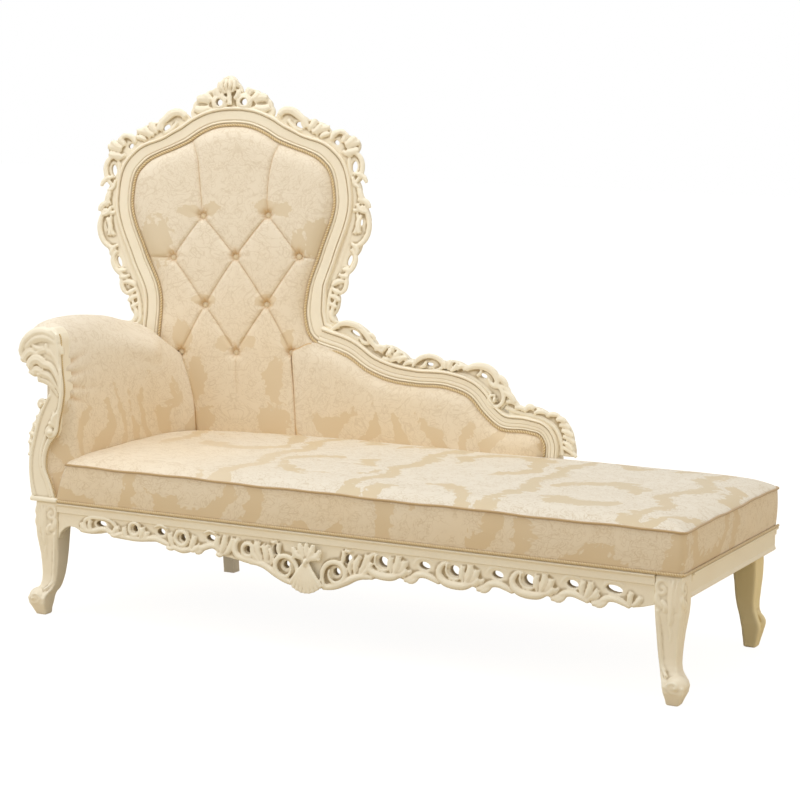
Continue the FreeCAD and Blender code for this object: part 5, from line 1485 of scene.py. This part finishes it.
crease_end = [on_back([p])[0] for p in ((-97, -16, -96), (-97, -18, -40), (-96, -19, 12),
    (-99, -19, 72), (-106, -19, 118), (-119, -18, 168), (-140, -15, 213), (-176, -10, 223),
    (-212, -8, 240))]
crease_end += [(-18.0, 538.0, 628.0), (-52.0, 545.0, 642.0), (-92.0, 552.0, 628.0),
    (-112.0, 558.0, 596.0), (-102.0, 560.0, 566.0), (-66.0, 562.0, 500.0), (-60.0, 562.0, 350.0),
    (-60.0, 562.0, 284.0)]
near_crease = [on_back([p])[0] for p in ((-108, -26, -96), (-108, -30, -40), (-108, -31, 12),
    (-111, -31, 72), (-118, -31, 122), (-132, -30, 174), (-152, -27, 224), (-186, -22, 240),
    (-224, -20, 256))]
near_crease += [(-28.0, 524.0, 640.0), (-58.0, 530.0, 650.0), (-98.0, 536.0, 634.0),
    (-116.0, 540.0, 600.0), (-104.0, 542.0, 570.0), (-66.0, 542.0, 504.0), (-56.0, 542.0, 350.0),
    (-56.0, 542.0, 284.0)]
corner = [(86, 496, 284), (88, 496, 345), (87, 496, 400), (82, 498, 470), (74, 500, 530),
    (60, 502, 580), (38, 503, 620), (6, 504, 648), (-36, 505, 663), (-66, 507, 662),
    (-96, 510, 640), (-114, 512, 606), (-110, 512, 578), (-92, 512, 560), (-58, 512, 508),
    (-34, 512, 350), (-34, 512, 284)]
sections = [front_section(2.0, -3.0), front_section(8.0, 3.0), arm_section(30, 91, 8, -40, 709),
    arm_section(70, 91, 10, -48, 717), arm_section(170, 82, -2, -62, 716),
    arm_section(320, 77, -22, -92, 701), arm_section(430, 78, -40, -108, 680), corner, near_crease,
    crease_end]
along = smooth_rows(sections, (4, 8, 12, 18, 20, 16, 12, 10, 6))
skin = np.array([smooth_rows(row, (4, 5, 8, 10, 12, 10, 8, 6, 6, 5, 5, 5, 5, 5, 6, 4))
    for row in along])
long, tall = skin.shape[:2]
gathers = np.zeros((long, tall))
for z, slope, much in ((618, 0.2, 5.0), (590, 0.04, 7.0), (562, -0.12, 7.0), (538, -0.3, 5.0)):
    away = skin[:, :, 2] - z - slope * (skin[:, :, 1] - 20)
    near = (np.exp(-(away / 7.0) ** 2) * np.exp(-np.clip(skin[:, :, 1] - 30, 0, None) / 50.0)
        * (skin[:, :, 0] > 50) * (skin[:, :, 1] > 6))
    gathers = np.maximum(gathers, near)
    skin[:, :, 0] -= much * near
steps_up, steps_on = run_of(skin[long // 2]), run_of(skin[:, 30])
cloth = np.array([(a - 80.0, b + 40.0) for a in steps_on for b in steps_up])
arm_cloth = mesh_piece("arm_cloth", skin.reshape(-1, 3), tube_faces(long, tall), cloth)
# Where the arm's cloth tucks into the back's crease, and along its gathers, it is painted golden
# and darker: painted shade.
rim_mark = np.zeros((long, tall))
rim_mark[-1, :68] = 1.0
rim_mark[-2, :68] = 0.5
store(arm_cloth, "shade_and_sheen", np.maximum(rim_mark, 0.8 * gathers).ravel())
# Lower down, the arm's cloth is tinted golden and darker as painted shade.
store(arm_cloth, "shade_tint", np.interp(skin[:, :, 2], (400, 640), (0.75, 0.1)).ravel())
store(arm_cloth, "plain", np.ones(long * tall))
store(arm_cloth, "bare", flames(skin[:, :, 1], skin[:, :, 2], 74.0, (430, 610)).ravel())
settle(arm_cloth, damask, "damask", "arm_pad")

# %% [markdown]
# The wing's padding fills the slope between the moulded rail and the seat. At its left end it
# comes forward to meet the right crease of the back.

# %% Wing pad
top_run = drawn(((356, 608), (378, 618), (401, 630), (418, 630)), step=5)[0]
wing_top = np.vstack((top_run[:-1], wing_line[0][wing_line[0][:, 1] > 424]))
lengths = run_of(wing_top)
COLUMNS, ROWS = 190, 70
stations = np.linspace(0, lengths[-1], COLUMNS)
tops = np.column_stack([np.interp(stations, lengths, wing_top[:, k]) for k in (0, 1)])
left_foot = on_back([(175.0, -18.0, -96.0)])[0]
feet_x = np.interp(np.linspace(0, 1, COLUMNS), (0, 1), (left_foot[0], 1055.7))
wing_flat = np.array([(tops[i, 0] + (feet_x[i] - tops[i, 0]) * (j / ROWS) ** 0.8,
    tops[i, 1] + (284.0 - tops[i, 1]) * j / ROWS)
    for i in range(COLUMNS) for j in range(ROWS + 1)])
gap, _ = distance_to(wing_flat, wing_line[0])
gap = np.minimum(gap, np.clip(1056.0 - wing_flat[:, 0], 0, None) + 0.01)
rise_off = 3.0 + 21.0 * (1 - np.exp(-np.clip(gap - 8.5, 0, None) / 14.0))
fall_3d = on_back([(a, -19.0, b) for a, b in RIGHT_FALL])
fall_y = np.interp(wing_flat[:, 1], fall_3d[::-1, 2], fall_3d[::-1, 1])
fall_x = np.interp(wing_flat[:, 1], fall_3d[::-1, 2], fall_3d[::-1, 0])
from_fall = np.clip(wing_flat[:, 0] - fall_x, 0, None)
blend_in = 1 - np.exp(-from_fall / 42.0)
swell = 11.0 * (1 - np.exp(-from_fall / 7.0)) * np.exp(-from_fall / 60.0)
wing_y = (WING_FACE - rise_off) * blend_in + fall_y * (1 - blend_in) - swell
crest_gap, _ = distance_to(wing_flat, top_run)
near_top = np.exp(-(crest_gap / 12.0) ** 1.2) * (wing_flat[:, 0] < 440)
wing_y += 4.0 * near_top
count = len(wing_flat)
tall = ROWS + 1
wing_points = np.vstack((np.column_stack((wing_flat[:, 0], wing_y, wing_flat[:, 1])),
    np.column_stack((wing_flat[:, 0], np.full(count, 657.0), wing_flat[:, 1]))))
quads = np.array([(i * tall + j, i * tall + j + 1, (i + 1) * tall + j + 1, (i + 1) * tall + j)
                  for i in range(COLUMNS - 1) for j in range(ROWS)])
faces = [tuple(q) for q in quads] + [tuple(q[::-1] + count) for q in quads]
faces += [(b, a, a + count, b + count) for a, b in rim_of(quads)]
wing_cloth = mesh_piece("wing_cloth", wing_points, faces,
    np.vstack((wing_flat, wing_flat)) + (40.0, 60.0))
# Along the crease where the wing meets the back, and along the top edge at its left end, the cloth
# takes painted shade.
fall_mark = np.exp(-(from_fall / 2.5) ** 2) * (wing_flat[:, 1] < 604)
store(wing_cloth, "shade_and_sheen", np.concatenate((
    np.maximum(fall_mark, np.exp(-(crest_gap / 2.2) ** 2) * (wing_flat[:, 0] < 405)),
    np.zeros(count))))
low_down = np.tile(wing_flat[:, 1], 2)
# Lower down, the wing's cloth is tinted golden and darker as painted shade.
store(wing_cloth, "shade_tint", np.interp(low_down, (400, 600), (0.7, 0.25)))
store(wing_cloth, "plain", np.ones(2 * count))
store(wing_cloth, "bare", flames(np.tile(wing_flat[:, 0], 2), low_down, 92.0, (400, 540)))
settle(wing_cloth, damask, "damask", "wing_pad")

# %% [markdown]
# The seat is a boxed cushion: a crowned top, a straight border, and a welt between them. The top is
# a net stretched between four drawn edges; the border hangs from its rim.

# %% Seat
SEAT_FRONT, SEAT_RIGHT, SEAT_REAR, SEAM_Z = -2.0, 1652.0, 648.0, 376.0
LOW_Z = 286.0
front_edge = drawn([(x, SEAT_FRONT) for x in (88, 600, 1100, 1640)], (1, 0), (1, 0), 10)[0]
front_edge = np.vstack((front_edge, [(1644.5, -1.1), (1648.4, 1.6)]))
right_edge = drawn([(SEAT_RIGHT, y) for y in (10.5, 300, 636)], (0, 1), (0, 1), 10)[0]
right_edge = np.vstack(([(1648.4, 1.6), (1651.1, 5.5), (SEAT_RIGHT, 10)], right_edge,
    [(1651.1, 640.5), (1648.4, 644.4)]))
left_edge = drawn(((88, -2), (83, 155), (76, 323), (82, 479)), (-0.05, 1), (0.3, 1), 10)[0]
rear_edge = np.vstack((drawn(((82, 479), (116, 530), (219, 581), (341, 607), (471, 624), (777, 634),
    (1040, 638), (1100, 648)), (0.5, 1), (1, 0.1), 10)[0],
    drawn([(x, SEAT_REAR) for x in (1110, 1400, 1638)], (1, 0), (1, 0), 10)[0],
    [(1643.5, 647.1), (1648.4, 644.4)]))


def spread(line, count):
    """The line at evenly spaced places."""
    run = run_of(line)
    places = np.linspace(0, 1, count)
    return np.column_stack([np.interp(places * run[-1], run, line[:, k]) for k in (0, 1)])


ACROSS, DEEP_COUNT = 260, 110
bottom, top_side = spread(front_edge, ACROSS), spread(rear_edge, ACROSS)
left_side, right_side = spread(left_edge, DEEP_COUNT), spread(right_edge, DEEP_COUNT)
u = np.linspace(0, 1, ACROSS)[None, :, None]
v = np.linspace(0, 1, DEEP_COUNT)[:, None, None]
stretched = ((1 - v) * bottom[None] + v * top_side[None]
    + (1 - u) * left_side[:, None] + u * right_side[:, None]
    - (1 - u) * (1 - v) * bottom[0] - u * (1 - v) * bottom[-1]
    - (1 - u) * v * top_side[0] - u * v * top_side[-1])
plan = stretched.reshape(-1, 2)
gap_open, _ = distance_to(plan, np.vstack((front_edge, right_edge)))
gap_wall, _ = distance_to(plan, np.vstack((left_edge[::3], rear_edge[::3])))
lift = 22.0 * (1 - np.exp(-gap_open / 34.0)) * (1 - 0.35 * np.exp(-(gap_wall / 16.0)))
slack = (1.2 * np.sin(plan[:, 0] / 37.0 + 1.3 * np.sin(plan[:, 1] / 51.0))
    * np.sin(plan[:, 1] / 43.0 + 0.7))


def seam_wave(spots):
    """The seam is never quite straight: each stitch pulls it a little."""
    return (1.0 * np.sin(spots[:, 0] / 58 + spots[:, 1] / 47 + 0.6)
        + 0.6 * np.sin(spots[:, 0] / 21 + spots[:, 1] / 19))


top_z = (SEAM_Z + lift + 0.5 * slack * np.clip(gap_open / 40.0, 0, 1)
    + seam_wave(plan) * np.exp(-gap_open / 20.0))
top_points = np.column_stack((plan, top_z))
index = np.arange(DEEP_COUNT * ACROSS).reshape(DEEP_COUNT, ACROSS)
top_faces = [(index[j, i], index[j, i + 1], index[j + 1, i + 1], index[j + 1, i])
             for j in range(DEEP_COUNT - 1) for i in range(ACROSS - 1)]
seam = list(index[0, :]) + list(index[1:, -1]) + list(index[-1, -2::-1]) + list(index[-2:0:-1, 0])
seam_spots = plan[seam]
ahead, behind = np.roll(seam_spots, -1, axis=0), np.roll(seam_spots, 1, axis=0)
tangent = ahead - behind
tangent /= np.linalg.norm(tangent, axis=1)[:, None]
outward = np.column_stack((tangent[:, 1], -tangent[:, 0]))
ROWS_DOWN = 16
visible = ((seam_spots[:, 1] < 2) | (seam_spots[:, 0] > 1640)
    | ((seam_spots[:, 1] > 646) & (seam_spots[:, 0] > 1110))).astype(float)
run = run_of(seam_spots)
border_points, border_cloth = [], []
for k in range(1, ROWS_DOWN + 1):
    w = k / ROWS_DOWN
    z = SEAM_Z - 1.0 - w * (SEAM_Z - LOW_Z)
    belly = (2.6 * math.sin(math.pi * min(1, w * 1.05)) - 0.6) * visible
    shift = (-30.0 * w * np.exp(-np.clip(seam_spots[:, 0] - 84, 0, None) / 60.0)
        * (seam_spots[:, 1] < 200))
    pucker = (0.5 * np.sin(seam_spots[:, 0] / 17.0 + seam_spots[:, 1] / 23.0) * visible
        * math.sin(math.pi * w))
    spots = seam_spots + outward * (belly + pucker)[:, None]
    spots[:, 0] += shift
    border_points.append(np.column_stack((spots, z + (1 - w) * seam_wave(seam_spots))))
    border_cloth.append(np.column_stack((run, np.full(len(seam), z))))
base = len(plan)
loops = [np.array(seam)] + [base + k * len(seam) + np.arange(len(seam)) for k in range(ROWS_DOWN)]
border_faces = [(a[i], b[i], b[(i + 1) % len(seam)], a[(i + 1) % len(seam)])
    for a, b in zip(loops, loops[1:]) for i in range(len(seam))]
seat_points = np.vstack([top_points] + border_points)
top_cloth = np.vstack([plan] + border_cloth)
side_cloth = top_cloth.copy()
side_cloth[seam] = np.column_stack((run, np.full(len(seam), SEAM_Z)))
bottom_face = [list(loops[-1][::-1])]
seat_cloth = mesh_piece("seat_cloth", seat_points, top_faces + border_faces + bottom_face,
    top_cloth, (len(top_faces), side_cloth + (0.0, 55.0)))
on_top = np.arange(len(seat_points)) < len(plan)
# The border, and the top towards the head end, are tinted golden and darker as painted shade.
store(seat_cloth, "shade_tint",
    np.where(on_top, 0.4 * np.interp(seat_points[:, 0], (250, 640), (1, 0)), 0.6))
store(seat_cloth, "plain", np.where(on_top, 0.12 + 0.75 * np.interp(seat_points[:, 0], (380, 640),
    (1, 0)) * np.interp(seat_points[:, 1], (260, 460), (1, 0)), 0.42))
settle(seat_cloth, damask, "damask", "seat_pad")

# %% [markdown]
# Welt and braid. The welt is a cord sewn into the seam of the seat. The braid is a flat cord of
# twisted strands glued over the tacks; its strands are cut into the tube as slanted waves.


# %% Cords on the cloth
STRANDS = 2


def cord_mesh(name, path, facing, radius, flat=1.0, twist=0.0, pitch=9.0, sides=14, step=1.6):
    """A tube along 3D points; twist gives the depth of its slanted strands."""
    path = np.asarray(path, float)
    run = run_of(path)
    at = np.arange(0, run[-1], step)
    spots = np.column_stack([np.interp(at, run, path[:, k]) for k in range(3)])
    ways = np.gradient(spots, axis=0)
    ways /= np.linalg.norm(ways, axis=1)[:, None]
    out = np.broadcast_to(np.asarray(facing, float), spots.shape)
    aside = np.cross(ways, out)
    aside /= np.linalg.norm(aside, axis=1)[:, None]
    out = np.cross(aside, ways)
    turns = 2 * math.pi * np.arange(sides) / sides
    points, cloth, low = [], [], []
    for spot, a, o, s in zip(spots, aside, out, at):
        wave = (np.abs(np.sin(STRANDS * turns / 2 + math.pi * s / pitch)) if twist
            else np.ones(sides))
        size = radius * (1 - twist * (1 - wave))
        points.append(spot + np.outer(np.cos(turns) * size, a)
            + np.outer(np.sin(turns) * size * flat, o))
        cloth += [(s, t * radius) for t in turns]
        low += list((1 - wave) if twist else np.zeros(sides))
    piece = mesh_piece(name, np.concatenate(points), tube_faces(len(at), sides), cloth)
    # The dips between the strands are stored as hollows, and are painted darker there as painted
    # shade.
    store(piece, "hollow", low)
    return piece


def braid(name, node, path, facing, radius, flat, twist, pitch, **fine):
    """A length of the gold braid, which stands for one braid of the construction."""
    settle(cord_mesh(name, path, facing, radius, flat, twist, pitch, **fine), gold_braid,
        "gold_braid", node)


back_gimp = beside((outline_up, np.vstack((left_line[1], crest_line[1][1:], right_line[1][1:]))),
    -4.6)
back_gimp = on_back(
    np.column_stack((back_gimp[:, 0], np.full(len(back_gimp), -5.5), back_gimp[:, 1])))
braid("back_gimp", "back_braid", back_gimp, -BACK_AXES[:, 1], 3.9, 0.75, 0.36, 7.0)
wing_gimp = beside(wing_line, -4.4)
wing_gimp = on_wing(
    np.column_stack((wing_gimp[:, 0], np.full(len(wing_gimp), -5.0), wing_gimp[:, 1])))
braid("wing_gimp", "wing_braid", wing_gimp, (0, -1, 0), 3.8, 0.75, 0.36, 7.0)
seat_gimp = [(62.0, -4.2, 285.5), (400, -4.4, 285.5), (900, -4.4, 285.5), (1648, -4.4, 285.5),
    (1652.5, -3.4, 285.5), (1654.4, 0.5, 285.5), (1654.6, 5, 285.5), (1654.6, 300, 285.5),
    (1654.6, 646, 285.5)]
braid("seat_gimp", "seat_braid", seat_gimp, (0, 0, 1), 3.2, 1.2, 0.35, 6.0, sides=10, step=2.0)
inner_run = inner_edge[(inner_edge[:, 1] < 690)]
arm_gimp = [(x + 1.5, 1.0, z) for x, z in inner_run]
braid("arm_gimp", "arm_braid", arm_gimp, (0, -1, 0), 2.1, 1.0, 0.3, 5.0, sides=10)
welt_plan = np.vstack((front_edge, right_edge[1:], rear_edge[::-1][1:62]))
welt_out = np.column_stack((np.gradient(welt_plan[:, 1]), -np.gradient(welt_plan[:, 0])))
welt_out /= np.linalg.norm(welt_out, axis=1)[:, None]
welt_path = np.column_stack((welt_plan + welt_out * 1.2, SEAM_Z + 0.5 + seam_wave(welt_plan)))
welt = cord_mesh("seat_welt", welt_path, (0, 0, 1), 2.7, 1.0, 0.0, sides=12, step=4.0)
settle(welt, welt_cloth, "piping", "seat_piping")

# %% [markdown]
# A tufting button is a metal mould with satin stretched over it: a low dome with a rolled edge. One
# is modelled and copied to its ten places, each copy with its own mesh.

# %% Buttons
deselect()
bpy.ops.mesh.primitive_uv_sphere_add(segments=28, ring_count=14, radius=0.0088)
button = bpy.context.object
bpy.ops.object.mode_set(mode="EDIT")
bpy.ops.mesh.select_all(action="SELECT")
bpy.ops.transform.resize(value=(1.0, 1.0, 0.55), center_override=(0, 0, 0))
bpy.ops.object.mode_set(mode="OBJECT")
bpy.ops.mesh.primitive_torus_add(major_radius=0.0092, minor_radius=0.0015, major_segments=28,
    minor_segments=8, location=(0, 0, -0.0012))
roll = bpy.context.object
pick(button, roll)
bpy.ops.object.join()
button = bpy.context.object
bpy.ops.object.shade_smooth()
button_spots = np.array([v.co for v in button.data.vertices]) * 1000
radii = np.hypot(button_spots[:, 0], button_spots[:, 1])
copies = []
for k, spot in enumerate(all_buttons):
    local = np.column_stack(
        (spot[0] + button_spots[:, 0], -9.5 - button_spots[:, 2], spot[1] + button_spots[:, 1]))
    mesh = button.data.copy()
    mesh.vertices.foreach_set("co", metres(on_back(local)).astype(np.float32).ravel())
    piece = bpy.data.objects.new(f"button_{k + 1}", mesh)
    bpy.context.scene.collection.objects.link(piece)
    copies.append(piece)
bpy.data.objects.remove(button)
pick(*copies)
bpy.ops.object.join()
button_set = bpy.context.object
button_set.name = button_set.data.name = "satin_buttons"
bpy.ops.object.mode_set(mode="EDIT")
bpy.ops.mesh.select_all(action="SELECT")
bpy.ops.mesh.normals_make_consistent(inside=False)
bpy.ops.object.mode_set(mode="OBJECT")
for layer in list(button_set.data.uv_layers):
    layer.name = "cloth"
# The rolled rim is stored as a hollow, so the satin is painted darker there: painted shadow round
# each button.
painted_rim_shadow = np.tile(np.clip((radii - 7.0) / 1.8, 0, 1), len(all_buttons))
store(button_set, "hollow", painted_rim_shadow)
settle(button_set, button_satin, "button_cloth", "tuft_buttons")

# %% [markdown]
# What is left of the construction keeps its shape and only needs its finish: the rails, the block
# leg, the hidden beech, the webbing and the cloths behind and below.

# %% Finishes for the carried-over pieces
KEPT = {"front_rail": cream, "end_rail": cream, "back_rail": cream, "rear_left_leg": cream,
    "head_rail": cream, "back_tack_rail": beech, "wing_tack_rail": beech, "arm_tack_rail": beech,
    "arm_top_rail": beech, "crest_dowels": beech, "seat_bearers": beech, "corner_blocks": beech,
    "seat_webbing": jute, "back_webbing": jute, "wing_webbing": jute, "dust_cover": dust_black,
    "back_outer_cover": lining, "wing_outer_cover": lining, "arm_outer_cover": lining}
for node, finish in KEPT.items():
    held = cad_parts[node]
    held.data.materials.clear()
    held.data.materials.append(finish)
print("carried over:", len(KEPT))

# %% [markdown]
# The stage: a pale floor that keeps a soft shadow, a white world behind, one broad light overhead,
# a weaker one from the front left and a small warm one from the foot end, so that the seat is
# brightest and the border is half in shade. The floor is warm for all but the camera, and so what
# it throws back turns the low parts golden.

# %% Stage and lights
deselect()
bpy.ops.mesh.primitive_plane_add(size=40.0, location=(0, 0, 0))
floor = bpy.context.object
floor.name = "studio_floor"
ground = Finish("floor_white", Roughness=0.9, Base_Color=(0.62, 0.52, 0.36, 1.0))
lit = ground.node("ShaderNodeEmission", {}, {"Color": (1.0, 1.0, 1.0, 1.0), "Strength": 1.5})
path = ground.node("ShaderNodeLightPath")
share = path * 0.62
mixer = ground.tree.nodes.new("ShaderNodeMixShader")
ground.tree.links.new(share.socket, mixer.inputs[0])
ground.tree.links.new(ground.shader.outputs[0], mixer.inputs[1])
ground.tree.links.new(lit.socket, mixer.inputs[2])
ground.tree.links.new(mixer.outputs[0], ground.tree.nodes["Material Output"].inputs[0])
floor.data.materials.append(ground.material)

world = bpy.data.worlds.new("studio")
bpy.context.scene.world = world
world.use_nodes = True
tree = world.node_tree
background = tree.nodes["Background"]
ray = tree.nodes.new("ShaderNodeLightPath")
strength = tree.nodes.new("ShaderNodeMapRange")
tree.links.new(ray.outputs["Is Camera Ray"], strength.inputs["Value"])
strength.inputs["To Min"].default_value = 0.62
strength.inputs["To Max"].default_value = 1.0
tree.links.new(strength.outputs[0], background.inputs["Strength"])
background.inputs["Color"].default_value = (1.0, 1.0, 1.0, 1.0)


def softbox(name, place, aim, size, power, tint=(1.0, 1.0, 1.0)):
    """A rectangular area lamp turned towards its aim."""
    lamp = bpy.data.lights.new(name, "AREA")
    lamp.shape = "RECTANGLE"
    lamp.size, lamp.size_y = size
    lamp.energy = power
    lamp.color = tint
    held = bpy.data.objects.new(name, lamp)
    bpy.context.scene.collection.objects.link(held)
    held.location = place
    held.rotation_euler = (Vector(aim) - Vector(place)).to_track_quat("-Z", "Y").to_euler()


softbox("overhead", (-0.3, -0.6, 3.6), (0.0, 0.0, 0.3), (3.4, 2.6), 55.0)
softbox("front_left", (-2.6, -3.4, 2.2), (0.0, 0.0, 0.5), (2.2, 2.2), 36.0)
softbox("warm_right", (4.0, -0.2, 0.9), (0.7, 0.2, 0.3), (2.0, 1.6), 14.0, (1.0, 0.84, 0.58))
scene = bpy.context.scene
scene.view_settings.view_transform = "Standard"

# %% [markdown]
